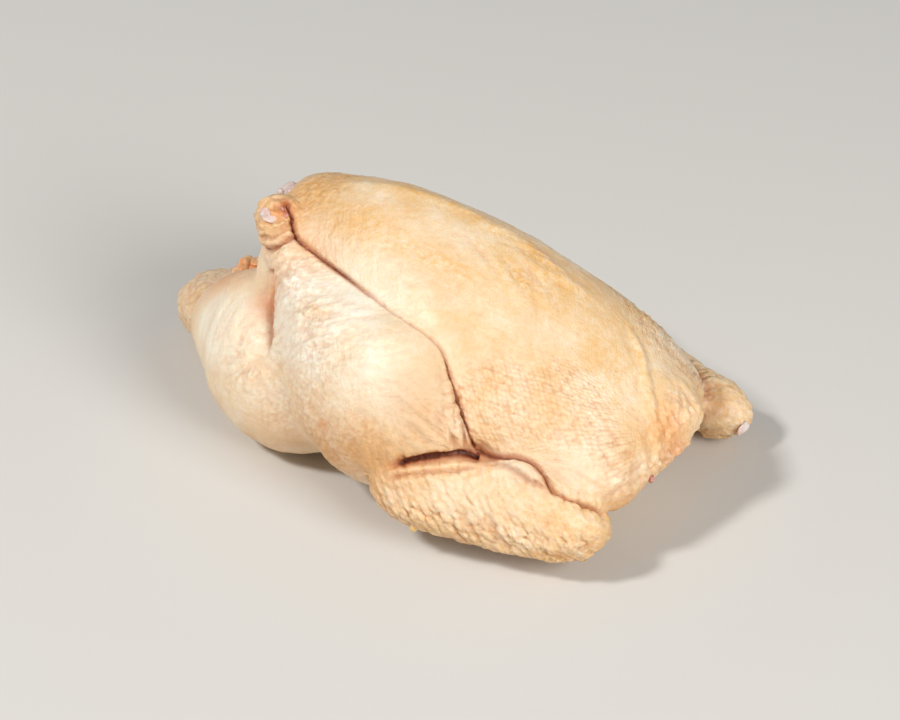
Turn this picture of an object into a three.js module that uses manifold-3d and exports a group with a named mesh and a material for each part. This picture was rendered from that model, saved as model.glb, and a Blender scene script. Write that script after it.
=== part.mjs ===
// A whole raw chicken, plucked and drawn, lying on its back with its breast up.
// Millimetres. +Z is up, +X points to the neck, -Y is the bird's left side.
// The origin is on the table, under the middle of the back.

import * as THREE from "three";
import { LoftGeometry } from "three/addons/geometries/LoftGeometry.js";
import { mergeVertices } from "three/addons/utils/BufferGeometryUtils.js";
import Module from "manifold-3d";

const wasm = await Module();
wasm.setup();

// Driving dimensions, as a bird of about 1.6 kg measures.
const KEEL_HEIGHT = 109;
const BREAST_HALF_WIDTH = 65;
const HOCK_RADIUS = 11;
const WING_HALF_DEPTH = 17;
const HOLLOW_HALF_WIDTH = 20;

const LEFT = -1;
const RIGHT = 1;

const UP = new THREE.Vector3(0, 0, 1);

function vector(values) {
  return new THREE.Vector3(...values);
}

// A smooth curve through three numbers of every station.
function curveOf(stations, read) {
  return new THREE.CatmullRomCurve3(stations.map((s) => vector(read(s))), false, "catmullrom", 0.5);
}

// A rounded end: 0 at the tip, 1 from one cap length inwards.
function endRounding(distance, cap) {
  const share = Math.min(Math.max(distance / cap, 0), 1);
  return Math.sqrt(1 - (1 - share) ** 2);
}

// Steps that are closer together at both ends, where the body rounds off.
function steps(count) {
  const list = [];
  for (let i = 0; i <= count; i++) {
    const t = 0.5 - 0.5 * Math.cos((Math.PI * i) / count);
    list.push(Math.min(Math.max(t, 0.0004), 0.9996));
  }
  return list;
}

function superCircle(value, squareness) {
  return Math.sign(value) * Math.abs(value) ** (2 / squareness);
}

// A closed body lofted along a smooth line through its stations.
// Each station gives a centre and three half sizes: on the facing side, on the far side and across.
function flesh({ stations, facing, squareness = 2, around, along, caps }) {
  const centres = curveOf(stations, (s) => s.at);
  const sizes = curveOf(stations, (s) => s.half);
  const sections = steps(along).map((t) => {
    const taper = endRounding(t, caps[0]) * endRounding(1 - t, caps[1]);
    const centre = centres.getPoint(t);
    const half = sizes.getPoint(t);
    const tangent = centres.getTangent(t);
    const out = facing.clone().addScaledVector(tangent, -facing.dot(tangent)).normalize();
    const side = new THREE.Vector3().crossVectors(tangent, out);
    const ring = [];
    for (let j = 0; j < around; j++) {
      const angle = (2 * Math.PI * j) / around;
      const reach = superCircle(Math.cos(angle), squareness) * taper;
      const width = superCircle(Math.sin(angle), squareness) * taper * half.z;
      const depth = reach * (reach > 0 ? half.x : half.y);
      ring.push(centre.clone().addScaledVector(out, depth).addScaledVector(side, width));
    }
    return ring;
  });
  return new LoftGeometry(sections, { capStart: true, capEnd: true });
}

// Pushes the skin out, or in, around a point, fading smoothly.
function swell(geometry, { at, reach, push }) {
  const centre = vector(at);
  const shove = vector(push);
  const position = geometry.getAttribute("position");
  const point = new THREE.Vector3();
  for (let i = 0; i < position.count; i++) {
    point.fromBufferAttribute(position, i);
    const away = point.clone().sub(centre).divide(vector(reach)).lengthSq();
    point.addScaledVector(shove, Math.exp(-away));
    position.setXYZ(i, point.x, point.y, point.z);
  }
  return geometry;
}

function solid(geometry) {
  const bare = new THREE.BufferGeometry();
  bare.setAttribute("position", geometry.getAttribute("position"));
  bare.setIndex(geometry.index);
  const merged = mergeVertices(bare, 1e-3);
  return new wasm.Manifold(
    new wasm.Mesh({
      numProp: 3,
      vertProperties: new Float32Array(merged.getAttribute("position").array),
      triVerts: new Uint32Array(merged.index.array),
    }),
  );
}

function geometryOf(manifold) {
  const mesh = manifold.getMesh();
  const geometry = new THREE.BufferGeometry();
  geometry.setAttribute("position", new THREE.BufferAttribute(mesh.vertProperties, 3));
  geometry.setIndex(new THREE.BufferAttribute(mesh.triVerts, 1));
  geometry.computeVertexNormals();
  return geometry;
}

// The trunk's sections across X: keel, widest and back heights, then the half widths to the left and right.
// The flanks fall from the keel more steeply where the flank power is greater.
function trunk() {
  const wide = BREAST_HALF_WIDTH;
  const keel = KEEL_HEIGHT;
  const flank = { left: 1.2, right: 1.55, back: 0.8 };
  const stations = [
    { x: -106, top: keel - 17, belly: 68, back: 46, left: 26, right: 24 },
    { x: -98, top: keel - 9, belly: 61, back: 26, left: 37, right: 34 },
    { x: -80, top: keel - 4, belly: 52, back: 8, left: 48, right: 42 },
    { x: -55, top: keel, belly: 50, back: 1, left: 53, right: 47 },
    { x: -30, top: keel - 1, belly: 48, back: -1, left: 58, right: 49 },
    { x: -5, top: keel - 6, belly: 47, back: -1, left: wide - 2, right: wide - 13 },
    { x: 20, top: keel - 16, belly: 45, back: -1, left: wide, right: wide - 11 },
    { x: 42, top: keel - 28, belly: 41, back: 3, left: wide - 2, right: wide - 10 },
    { x: 60, top: keel - 40, belly: 39, back: 10, left: wide - 6, right: wide - 15 },
    { x: 75, top: keel - 52, belly: 37, back: 19, left: wide - 14, right: wide - 25 },
    { x: 90, top: keel - 65, belly: 37, back: 28, left: wide - 27, right: wide - 38 },
  ];
  const heights = curveOf(stations, (s) => [s.top, s.belly, s.back]);
  const spread = curveOf(stations, (s) => [s.x, s.left, s.right]);
  const around = 56;
  const sections = steps(36).map((t) => {
    const taper = endRounding(t, 0.1) * endRounding(1 - t, 0.12);
    const height = heights.getPoint(t);
    const half = spread.getPoint(t);
    const ring = [];
    for (let j = 0; j < around; j++) {
      const angle = (2 * Math.PI * j) / around;
      const rise = Math.cos(angle);
      const across = -Math.sin(angle);
      const power = across > 0 ? flank.right : flank.left;
      const lift =
        rise > 0
          ? (height.x - height.y) * rise ** power
          : (height.z - height.y) * Math.abs(rise) ** flank.back;
      const width = across * (across > 0 ? half.z : half.y);
      ring.push(new THREE.Vector3(half.x, width * taper, height.y + lift * taper));
    }
    return ring;
  });
  const body = new LoftGeometry(sections, { capStart: true, capEnd: true });
  swell(body, { at: [84, -38, 34], reach: [16, 16, 16], push: [3, -3, -2] });
  swell(body, { at: [48, -62, 40], reach: [16, 14, 16], push: [0, 6, 0] });
  return body;
}

// The neck's skin, folded down over the front between the shoulders.
function neckFlap() {
  return flesh({
    facing: UP,
    around: 28,
    along: 16,
    caps: [0.4, 0.45],
    stations: [
      { at: [36, 2, 50], half: [18, 18, 34] },
      { at: [60, 1, 46], half: [18, 17, 31] },
      { at: [78, -1, 42], half: [14, 11, 25] },
      { at: [88, -5, 39], half: [9, 7, 16] },
    ],
  });
}

// A leg: the thigh and the drumstick folded together, from the hock to the knee.
const LEGS = {
  [LEFT]: [
    { at: [-100, -20, 101], half: [HOCK_RADIUS, HOCK_RADIUS, HOCK_RADIUS] },
    { at: [-88, -26, 87], half: [11, 11, 11] },
    { at: [-70, -36, 73], half: [16, 16, 18] },
    { at: [-49, -46, 60], half: [24, 24, 31] },
    { at: [-26, -54, 50], half: [27, 28, 37] },
    { at: [2, -60, 49], half: [24, 26, 33] },
    { at: [28, -63, 48], half: [14, 20, 23] },
  ],
  [RIGHT]: [
    { at: [-112, 3, 86], half: [8, 8, 8] },
    { at: [-97, 15, 75], half: [11, 11, 12] },
    { at: [-78, 29, 64], half: [16, 16, 19] },
    { at: [-55, 39, 50], half: [23, 24, 29] },
    { at: [-30, 45, 40], half: [26, 28, 35] },
    { at: [-2, 50, 36], half: [22, 26, 31] },
    { at: [24, 52, 34], half: [14, 20, 22] },
  ],
};

function leg(side) {
  return flesh({
    facing: new THREE.Vector3(0, side, 0.25),
    around: 32,
    along: 26,
    caps: [0.08, 0.3],
    stations: LEGS[side],
  });
}

// The rear of the thigh, which bulges beside the tail.
function rump(side) {
  const y = side === LEFT ? -31 : 30;
  return flesh({
    facing: new THREE.Vector3(0, side, 0.3),
    around: 28,
    along: 18,
    caps: [0.5, 0.5],
    stations: [
      { at: [-133, y, 37], half: [26, 25, 27] },
      { at: [-102, y + side * 2, 38], half: [30, 29, 32] },
      { at: [-68, y + side * 14, 35], half: [30, 30, 36] },
      { at: [-25, y + side * 17, 36], half: [26, 28, 27] },
    ],
  });
}

function tail() {
  return flesh({
    facing: UP,
    squareness: 2.4,
    around: 24,
    along: 16,
    caps: [0.1, 0.25],
    stations: [
      { at: [-85, 0, 24], half: [20, 18, 30] },
      { at: [-115, 1, 23], half: [18, 18, 26] },
      { at: [-141, 0, 19], half: [14, 15, 21] },
      { at: [-166, -2, 18], half: [13, 15, 15] },
    ],
  });
}

// The forearm of the folded wing, from the elbow to the wrist.
const FOREARMS = {
  [LEFT]: [
    { at: [-10, -80, 30], half: [10, 12, WING_HALF_DEPTH - 4] },
    { at: [19, -73, 28], half: [12, 12, WING_HALF_DEPTH - 1] },
    { at: [52, -63, 26], half: [12, 12, WING_HALF_DEPTH] },
    { at: [85, -52, 24], half: [12, 12, WING_HALF_DEPTH - 2] },
  ],
  [RIGHT]: [
    { at: [-6, 78, 22], half: [10, 12, WING_HALF_DEPTH - 5] },
    { at: [24, 70, 18], half: [12, 12, WING_HALF_DEPTH - 2] },
    { at: [58, 60, 15], half: [12, 12, WING_HALF_DEPTH - 2] },
    { at: [91, 51, 16], half: [12, 12, WING_HALF_DEPTH - 4] },
  ],
};

function forearm(side) {
  return flesh({
    facing: new THREE.Vector3(0.1, side, 0.35),
    around: 26,
    along: 22,
    caps: [0.18, 0.2],
    stations: FOREARMS[side],
  });
}

// The upper arm, between the forearm and the trunk.
function upperArm(side) {
  const lower = side === RIGHT ? 8 : 0;
  const inward = side === RIGHT ? 5 : 0;
  return flesh({
    facing: new THREE.Vector3(0, side, 0.4),
    around: 20,
    along: 14,
    caps: [0.3, 0.3],
    stations: [
      { at: [5, side * (68 - inward), 29 - lower], half: [12, 14, 14] },
      { at: [40, side * (58 - inward), 34 - lower], half: [14, 16, 16] },
      { at: [74, side * (44 - inward), 31 - lower], half: [13, 16, 15] },
    ],
  });
}

// The lumps of fat along the lower rim of the opening.
function rimLumps() {
  const lumps = [
    { at: [-115, -10, 42], radius: 8 },
    { at: [-124, 0, 40], radius: 9 },
    { at: [-117, 11, 42], radius: 8 },
  ];
  return lumps.map(({ at, radius }) =>
    new THREE.SphereGeometry(radius, 12, 8).scale(1.3, 1, 0.8).translate(...at));
}

function table() {
  return new THREE.BoxGeometry(600, 600, 60).translate(0, 0, -30);
}

// The empty inside of the drawn bird, open to the rear below the hocks.
function hollow() {
  const wide = HOLLOW_HALF_WIDTH;
  return flesh({
    facing: UP,
    around: 20,
    along: 12,
    caps: [0.02, 0.4],
    stations: [
      { at: [-150, 0, 70], half: [20, 18, wide + 4] },
      { at: [-112, 0, 62], half: [15, 17, wide - 1] },
      { at: [-80, 0, 56], half: [17, 18, wide] },
      { at: [-35, 0, 52], half: [16, 16, wide - 2] },
    ],
  });
}

function chicken() {
  let bird = solid(trunk());
  for (const side of [LEFT, RIGHT]) {
    for (const piece of [leg, rump, forearm, upperArm]) {
      bird = bird.add(solid(piece(side)));
    }
  }
  for (const piece of [tail(), neckFlap(), ...rimLumps()]) {
    bird = bird.add(solid(piece));
  }
  return geometryOf(bird.subtract(solid(hollow())).subtract(solid(table())));
}

const skin = new THREE.MeshStandardMaterial({ color: 0xf0cf9c, roughness: 0.45, metalness: 0 });
const body = new THREE.Mesh(chicken(), skin);
body.name = "raw_chicken";

const part = new THREE.Group();
part.add(body);

export default part;
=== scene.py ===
"""Dresses the whole raw chicken: skin with folds, wrinkles and follicles, cartilage, fat, and the studio."""

import logging
import math
from dataclasses import dataclass, field
from enum import Enum

import bmesh
import bpy
import numpy as np
from mathutils import Matrix, Vector
from mathutils.bvhtree import BVHTree
from mathutils.kdtree import KDTree

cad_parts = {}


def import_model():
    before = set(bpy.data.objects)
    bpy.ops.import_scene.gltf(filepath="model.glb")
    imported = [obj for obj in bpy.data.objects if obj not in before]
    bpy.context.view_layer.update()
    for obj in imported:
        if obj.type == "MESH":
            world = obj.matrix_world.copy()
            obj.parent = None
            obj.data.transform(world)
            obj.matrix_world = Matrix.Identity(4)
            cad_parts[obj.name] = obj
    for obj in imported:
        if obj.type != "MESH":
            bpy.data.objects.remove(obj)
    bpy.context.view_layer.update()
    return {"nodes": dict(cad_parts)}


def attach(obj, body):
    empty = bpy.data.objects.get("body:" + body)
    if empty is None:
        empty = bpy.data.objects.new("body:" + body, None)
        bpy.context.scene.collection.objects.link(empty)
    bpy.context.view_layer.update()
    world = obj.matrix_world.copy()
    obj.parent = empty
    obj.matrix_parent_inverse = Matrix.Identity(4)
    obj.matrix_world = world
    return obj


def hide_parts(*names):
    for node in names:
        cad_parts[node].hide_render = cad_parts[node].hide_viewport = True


LOG = logging.getLogger("raw_chicken")
MM = 0.001
NODE = "raw_chicken"

# The random numbers mix each cell's coordinates with these primes, in 32 bits.
HASH_BITS = 0xFFFFFFFF
HASH_PRIMES = (374761393, 668265263, 2147483629)
HASH_MIX = 1274126177
HASH_RANGE = 4294967296.0

# Each round of smoothing moves a point this share of the way, and back again where the size is kept.
SMOOTHING = 0.5
UNSHRINKING = 0.52

# Edges of the solid that bend inwards by more than this are creases, in radians.
CREASE_ANGLE = 0.4

# What distances are set to where nothing is near, and where the far creases aren't looked for.
FAR_OFF = 999.0
UNSEARCHED = 99.0


class Side(Enum):
    """The bird's two sides; the value is the sign of y."""

    LEFT = -1
    RIGHT = 1


# Helpers for numbers.


def smooth_step(values: np.ndarray, low: float, high: float) -> np.ndarray:
    """Fades from 0 at low to 1 at high.

    Args:
        values: The numbers to fade.
        low: Where the fade starts.
        high: Where the fade ends.

    Returns:
        Numbers from 0 to 1.
    """
    share = np.clip((values - low) / (high - low), 0.0, 1.0)
    return share * share * (3.0 - 2.0 * share)


def cell_hash(cells: np.ndarray, seed: int) -> np.ndarray:
    """A repeatable random number for each integer cell.

    Args:
        cells: Integer cell coordinates, one row a cell.
        seed: Changes the whole pattern.

    Returns:
        One number from 0 to 1 a row.
    """
    mask = np.uint64(HASH_BITS)
    total = np.full(len(cells), seed * HASH_MIX & HASH_BITS, np.uint64)
    for column, prime in zip(cells.astype(np.int64).T, HASH_PRIMES):
        total = (total + (column.astype(np.uint64) & mask) * np.uint64(prime)) & mask
        total = ((total ^ (total >> np.uint64(13))) * np.uint64(HASH_MIX)) & mask
    return (total ^ (total >> np.uint64(16))).astype(np.float64) / HASH_RANGE


def value_noise(points: np.ndarray, size: float, seed: int) -> np.ndarray:
    """Smooth random hills from -1 to 1.

    Args:
        points: Positions, in millimetres.
        size: About the width of one hill, in millimetres.
        seed: Changes the whole pattern.

    Returns:
        One number a point.
    """
    spot = points / size
    base = np.floor(spot)
    part = spot - base
    part = part * part * (3.0 - 2.0 * part)
    total = np.zeros(len(points))
    for corner in range(8):
        step = np.array([corner & 1, corner >> 1 & 1, corner >> 2 & 1])
        weight = np.prod(np.where(step == 1, part, 1.0 - part), axis=1)
        total += weight * cell_hash(base + step, seed)
    return total * 2.0 - 1.0


def pebbles(points: np.ndarray, size: float, seed: int) -> np.ndarray:
    """Packed rounded cells with narrow valleys between them.

    Args:
        points: Positions, in millimetres.
        size: About the width of one cell, in millimetres.
        seed: Changes the whole pattern.

    Returns:
        Heights from 0 in the valleys to 1 on the cells.
    """
    spot = points / size
    base = np.floor(spot)
    first = np.full(len(points), 9.0)
    second = np.full(len(points), 9.0)
    for number in range(27):
        cell = base + np.array([number % 3, number // 3 % 3, number // 9]) - 1
        away = np.zeros(len(points))
        for axis in range(3):
            middle = cell[:, axis] + 0.15 + 0.7 * cell_hash(cell, seed + axis)
            away += (spot[:, axis] - middle) ** 2
        away = np.sqrt(away)
        second = np.minimum(second, np.maximum(first, away))
        first = np.minimum(first, away)
    edge = np.clip((second - first) / 0.7, 0.0, 1.0)
    return edge * (1.7 - 0.7 * edge) * (1.15 - 0.3 * first)


def layered_noise(points: np.ndarray, size: float, seed: int, layers: int = 3) -> np.ndarray:
    """Several noises, each half as wide and half as high as the one before.

    Args:
        points: Positions, in millimetres.
        size: The width of the widest hills, in millimetres.
        seed: Changes the whole pattern.
        layers: How many noises are added.

    Returns:
        One number a point, about -1 to 1.
    """
    total = np.zeros(len(points))
    for layer in range(layers):
        total += value_noise(points, size / 2**layer, seed + layer) / 2**layer
    return total / 1.6


def sway_of(points: np.ndarray, size: float, seed: int) -> np.ndarray:
    """A soft random shift for each point, used to bend a pattern."""
    return np.stack([layered_noise(points, size, seed + axis, 2) for axis in range(3)], axis=1)


def distance_to_line(
    points: np.ndarray, line: np.ndarray, reach: float = 25.0
) -> tuple[np.ndarray, np.ndarray]:
    """The distance from each point to a chain of straight pieces.

    Args:
        points: Positions, in millimetres.
        line: The chain's corners.
        reach: Points further than this from the chain's box are left at a large distance.

    Returns:
        The distances, and how far along the chain the nearest spot is, from 0 to 1.
    """
    near = np.all((points > line.min(axis=0) - reach) & (points < line.max(axis=0) + reach), axis=1)
    away_all = np.full(len(points), FAR_OFF)
    along_all = np.zeros(len(points))
    points = points[near]
    lengths = np.linalg.norm(np.diff(line, axis=0), axis=1)
    starts = np.concatenate([[0.0], np.cumsum(lengths)])
    best = np.full(len(points), np.inf)
    along = np.zeros(len(points))
    for index, length in enumerate(lengths):
        run = line[index + 1] - line[index]
        share = np.clip((points - line[index]) @ run / (length * length), 0.0, 1.0)
        away = np.linalg.norm(points - line[index] - share[:, None] * run, axis=1)
        nearer = away < best
        best = np.where(nearer, away, best)
        along = np.where(nearer, (starts[index] + share * length) / starts[-1], along)
    away_all[near] = best
    along_all[near] = along
    return away_all, along_all


def smooth_line(corners: tuple, steps: int = 6) -> np.ndarray:
    """Rounds a chain of corners into a smooth curve through them.

    Args:
        corners: The corners.
        steps: Points between one corner and the next.

    Returns:
        The curve's points.
    """
    points = np.array(corners, float)
    padded = np.vstack([2 * points[0] - points[1], points, 2 * points[-1] - points[-2]])
    rows = []
    for i in range(len(points) - 1):
        a, b, c, d = padded[i : i + 4]
        bend = 2 * a - 5 * b + 4 * c - d
        twist = 3 * b - a - 3 * c + d
        for t in np.linspace(0.0, 1.0, steps, endpoint=False):
            rows.append(0.5 * (2 * b + (c - a) * t + bend * t**2 + twist * t**3))
    rows.append(points[-1])
    return np.array(rows)


# Forms on the skin.


@dataclass(frozen=True)
class Fold:
    """A fold or ridge that runs along a line on the skin, in millimetres.

    A depth below 0 presses the skin in, and round_off and shoulder say how much and how widely the skin
    beside it rounds over the edge. The lip is a soft ridge on both sides, lip_width away. Dark is the shade
    painted into it, fade gives the shares of its length that fade out at its start and end, and strength says
    how strong it is at even steps between them. Calm smooths away the solid's own crease under it.
    """

    name: str
    line: tuple
    depth: float
    width: float
    lip: float = 0.0
    lip_width: float = 4.0
    dark: float = 0.0
    fade: tuple = (0.08, 0.08)
    calm: float = 0.0
    round_off: float = 0.0
    shoulder: float = 5.0
    strength: tuple = (1.0, 1.0)

    def curve(self) -> np.ndarray:
        """The fold's smooth line."""
        return smooth_line(self.line)

    def strength_at(self, along: np.ndarray) -> np.ndarray:
        """How strong the fold is along its line.

        Args:
            along: Places along the line, from 0 to 1.

        Returns:
            The strength at each place, which fades towards both ends.
        """
        start, end = self.fade
        ends = smooth_step(along, 0.0, start) * (1.0 - smooth_step(along, 1.0 - end, 1.0))
        return ends * np.interp(along, np.linspace(0.0, 1.0, len(self.strength)), self.strength)

    def section(self, away: np.ndarray, width: np.ndarray | float) -> np.ndarray:
        """The fold's cross-section without its lip: a slit or ridge, and rounded shoulders.

        Args:
            away: Distances from its line, in millimetres.
            width: How wide it is at each of them.

        Returns:
            Heights, in millimetres, below 0 where the skin is pressed in.
        """
        return self.depth * np.exp(-((away / width) ** 2)) - self.round_off * np.exp(-away / self.shoulder)

    def lip_section(self, away: np.ndarray) -> np.ndarray:
        """The cross-section of the soft ridge that runs on both sides of the fold."""
        return self.lip * np.exp(-(((away - self.lip_width) / (0.6 * self.lip_width)) ** 2))


@dataclass(frozen=True)
class Patch:
    """A soft-edged spot on the skin, in millimetres. A mirrored one lies on both sides of the bird."""

    at: tuple
    reach: tuple
    amount: float = 1.0
    mirrored: bool = True


FOLDS = (
    Fold(
        "leg_breast",
        (
            (-82.0, -29.5, 95.5),
            (-79.5, -31.0, 94.0),
            (-74.5, -32.0, 92.0),
            (-61.5, -35.5, 90.0),
            (-36.0, -41.5, 86.5),
            (-18.5, -46.0, 84.5),
            (-8.5, -46.5, 81.5),
            (2.5, -48.5, 78.5),
            (12.0, -55.0, 71.0),
            (20.5, -60.5, 63.0),
            (26.0, -63.0, 54.5),
            (28.5, -62.5, 48.0),
            (31.0, -64.5, 47.5),
        ),
        depth=-2.6,
        width=0.85,
        dark=1.0,
        fade=(0.01, 0.01),
        calm=0.8,
        round_off=1.0,
        shoulder=2.6,
        strength=(1.1, 1.1, 0.75, 0.45, 0.4, 0.5, 0.8, 1.0, 1.1),
    ),
    Fold(
        "leg_rump",
        (
            (-88.0, -40.5, 80.5),
            (-84.5, -44.0, 75.5),
            (-83.0, -45.5, 69.5),
            (-77.5, -56.0, 65.0),
            (-73.5, -62.5, 59.0),
            (-73.0, -66.0, 53.0),
        ),
        depth=-2.0,
        width=1.3,
        dark=0.6,
        fade=(0.05, 0.3),
        calm=0.7,
        round_off=2.4,
        shoulder=4.0,
    ),
    Fold(
        "hock_fold",
        (
            (-100.0, -30.0, 84.5),
            (-94.0, -35.5, 85.0),
            (-88.0, -38.0, 89.0),
            (-84.0, -36.0, 92.0),
            (-80.5, -29.5, 94.5),
        ),
        depth=-2.0,
        width=1.1,
        lip=0.9,
        lip_width=3.2,
        dark=0.55,
        round_off=1.2,
        shoulder=2.5,
    ),
    Fold(
        "hock_roll",
        ((-98.5, -32.0, 89.5), (-92.0, -35.5, 91.0), (-87.0, -34.5, 93.5), (-83.5, -28.5, 97.0)),
        depth=-1.1,
        width=0.9,
        lip=0.7,
        lip_width=2.2,
        dark=0.3,
        fade=(0.3, 0.1),
    ),
    Fold(
        "hock_gap",
        (
            (-90.5, -22.5, 103.5),
            (-87.5, -23.5, 102.0),
            (-85.0, -25.0, 99.0),
            (-83.5, -28.0, 97.0),
            (-80.0, -31.0, 94.5),
            (-76.5, -32.0, 92.5),
        ),
        depth=-2.2,
        width=1.2,
        dark=0.95,
        fade=(0.1, 0.01),
        round_off=0.8,
        shoulder=2.0,
    ),
    Fold(
        "hock_lip",
        ((-99.0, -28.0, 98.5), (-98.0, -26.0, 102.0), (-94.0, -26.5, 103.5), (-90.5, -27.0, 103.0)),
        depth=1.4,
        width=1.7,
    ),
    Fold(
        "hock_cap_low",
        ((-97.5, -32.5, 95.5), (-93.5, -33.5, 96.0), (-89.0, -32.5, 96.5), (-86.0, -29.5, 98.0)),
        depth=1.6,
        width=1.3,
    ),
    Fold(
        "wishbone",
        (
            (49.0, 16.0, 74.0),
            (61.5, 9.0, 67.0),
            (73.5, -3.5, 59.5),
            (82.0, -12.5, 48.0),
            (88.0, -21.0, 37.0),
        ),
        depth=1.0,
        width=1.8,
        lip=-0.3,
        lip_width=4.0,
        fade=(0.25, 0.1),
    ),
    Fold(
        "wing_torso",
        (
            (28.5, -62.5, 48.0),
            (39.0, -61.5, 49.0),
            (46.5, -58.5, 49.0),
            (53.0, -57.5, 48.0),
            (58.5, -59.0, 45.5),
            (63.0, -60.5, 41.0),
            (73.0, -58.0, 38.0),
            (79.5, -53.5, 35.0),
            (85.5, -48.5, 31.0),
        ),
        depth=-2.6,
        width=1.0,
        dark=0.85,
        fade=(0.01, 0.02),
        calm=0.4,
        round_off=2.2,
        shoulder=3.5,
    ),
    Fold(
        "wing_thigh",
        (
            (-3.5, -83.5, 38.0),
            (4.0, -80.0, 42.0),
            (13.0, -75.0, 45.0),
            (21.5, -70.0, 46.5),
            (26.5, -66.5, 47.0),
            (31.0, -64.5, 47.5),
        ),
        depth=-3.4,
        width=1.9,
        dark=1.0,
        fade=(0.3, 0.02),
        round_off=1.2,
        shoulder=2.5,
    ),
    Fold(
        "arm_fold",
        (
            (35.5, -66.0, 47.0),
            (41.0, -64.5, 47.5),
            (47.5, -64.0, 46.0),
            (54.5, -63.5, 43.5),
            (61.5, -61.0, 41.5),
        ),
        depth=-1.4,
        width=1.1,
        dark=0.35,
        round_off=0.8,
        shoulder=2.5,
    ),
    Fold(
        "forearm_groove",
        (
            (-0.5, -85.5, 35.0),
            (4.5, -83.5, 38.0),
            (10.0, -81.0, 40.0),
            (20.0, -75.5, 42.0),
            (30.0, -69.5, 44.0),
            (38.0, -67.0, 45.0),
        ),
        depth=-1.2,
        width=1.1,
        lip=0.9,
        lip_width=2.8,
        dark=0.42,
        fade=(0.15, 0.3),
        round_off=0.5,
        shoulder=2.0,
    ),
    Fold(
        "thigh_fold_a",
        ((20.0, -62.5, 62.5), (24.0, -64.5, 55.5), (26.0, -66.0, 49.0)),
        depth=-1.6,
        width=1.0,
        lip=0.8,
        lip_width=2.6,
        dark=0.5,
        fade=(0.5, 0.05),
    ),
    Fold(
        "thigh_fold_b",
        ((17.5, -67.0, 59.5), (21.5, -68.0, 53.0), (23.5, -68.0, 47.5)),
        depth=-1.2,
        width=1.0,
        lip=0.7,
        lip_width=2.4,
        dark=0.3,
        fade=(0.5, 0.05),
    ),
    Fold(
        "rump_groove",
        ((-73.5, -64.0, 56.0), (-80.5, -69.0, 47.5), (-88.5, -70.5, 37.0)),
        depth=-0.8,
        width=1.8,
        lip=0.4,
        lip_width=4.0,
        dark=0.12,
        fade=(0.1, 0.5),
    ),
    Fold(
        "neck_ridge_middle",
        ((86.0, -17.5, 42.0), (85.5, -8.0, 44.0), (88.0, 0.0, 48.0), (88.0, 12.0, 48.5)),
        depth=1.1,
        width=1.6,
    ),
    Fold(
        "neck_ridge_top",
        ((83.0, -13.5, 46.5), (83.5, -5.0, 51.5), (83.5, 6.0, 53.5)),
        depth=0.8,
        width=1.6,
    ),
    Fold(
        "neck_ridge_low",
        ((88.0, -21.0, 37.0), (89.5, -11.0, 37.0), (90.0, 3.0, 37.0)),
        depth=1.1,
        width=1.6,
    ),
    Fold(
        "keel",
        (
            (-83.5, -1.5, 104.0),
            (-60.5, 2.0, 108.0),
            (-30.0, 8.0, 106.5),
            (-6.5, 10.0, 101.5),
            (12.0, 11.5, 94.5),
            (28.5, 10.5, 87.5),
            (45.0, 12.5, 77.5),
        ),
        depth=0.8,
        width=3.6,
        lip=-0.2,
        lip_width=8.0,
        fade=(0.2, 0.2),
    ),
)

# The far side's folds have this section. Their lines are the solid's own creases.
FAR_FOLD = Fold("far", (), depth=-1.8, width=1.2, dark=0.75, round_off=1.0, shoulder=2.6)

# The solid's own creases between rump and thigh, which the skin bridges: they are smoothed away.
FILLED_CREASES = {
    Side.LEFT: ((-74, -70, 46), (-68, -74, 34), (-58, -74, 22), (-46, -70, 12)),
    Side.RIGHT: ((-74, 69, 48), (-68, 73, 36), (-58, 73, 22), (-46, 69, 12)),
}

# Spots that are smoothed, pressed in, darkened like a hole, raised, roughened or made lumpy. Where a spot is
# pressed in or raised, its amount is in millimetres.
SMOOTHED = (Patch((29.5, -64.0, 48.0), (3.0, 3.0, 3.0), 1.0, False),)

DIMPLES = (
    Patch((-92.5, -29.5, 100.0), (4.6, 4.0, 3.2), 3.0, False),
    Patch((31.0, -64.0, 48.5), (6.0, 4.0, 3.5), 3.0, False),
    Patch((-75.0, -65.0, 55.0), (5.0, 4.0, 6.0), 1.6, False),
)

SHADED_HOLES = (
    Patch((29.5, -64.0, 47.5), (2.8, 3.5, 3.2), 1.3, False),
    Patch((33.0, -63.5, 48.0), (5.0, 3.5, 2.4), 1.3, False),
    Patch((-89.5, -24.5, 102.0), (3.0, 3.0, 3.0), 0.7, False),
)

FINE_PEBBLED = (
    Patch((-74, -44, 84), (16, 14, 14), 0.75),
    Patch((-58, -56, 81), (16, 14, 12), 0.65),
    Patch((-94, -29, 94), (12, 11, 13), 0.7, False),
    Patch((-85, -10, 99), (16, 20, 14), 0.75),
    Patch((-66, -24, 99), (18, 9, 10), 0.35),
    Patch((-44, -66, 70), (24, 14, 18), 0.6),
    Patch((-42, -72, 56), (22, 12, 20), 0.6),
    Patch((-20, -80, 48), (22, 8, 16), 0.55),
    Patch((-60, -74, 52), (16, 12, 20), 0.45),
    Patch((-30, -79, 38), (32, 10, 18), 0.85),
    Patch((-62, -72, 40), (14, 10, 18), 0.6),
    Patch((10, -71, 62), (18, 10, 16), 0.2),
    Patch((-152, 0, 24), (24, 26, 22), 0.5),
    Patch((84, 4, 46), (14, 24, 18), 0.2),
    Patch((40, -40, 74), (26, 14, 14), 0.35),
)

SWELLINGS = (
    Patch((49.0, -61.0, 47.0), (10.0, 4.5, 6.0), 3.0, False),
    Patch((-12.0, -60.0, 72.0), (26.0, 14.0, 18.0), 1.0),
)

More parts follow.
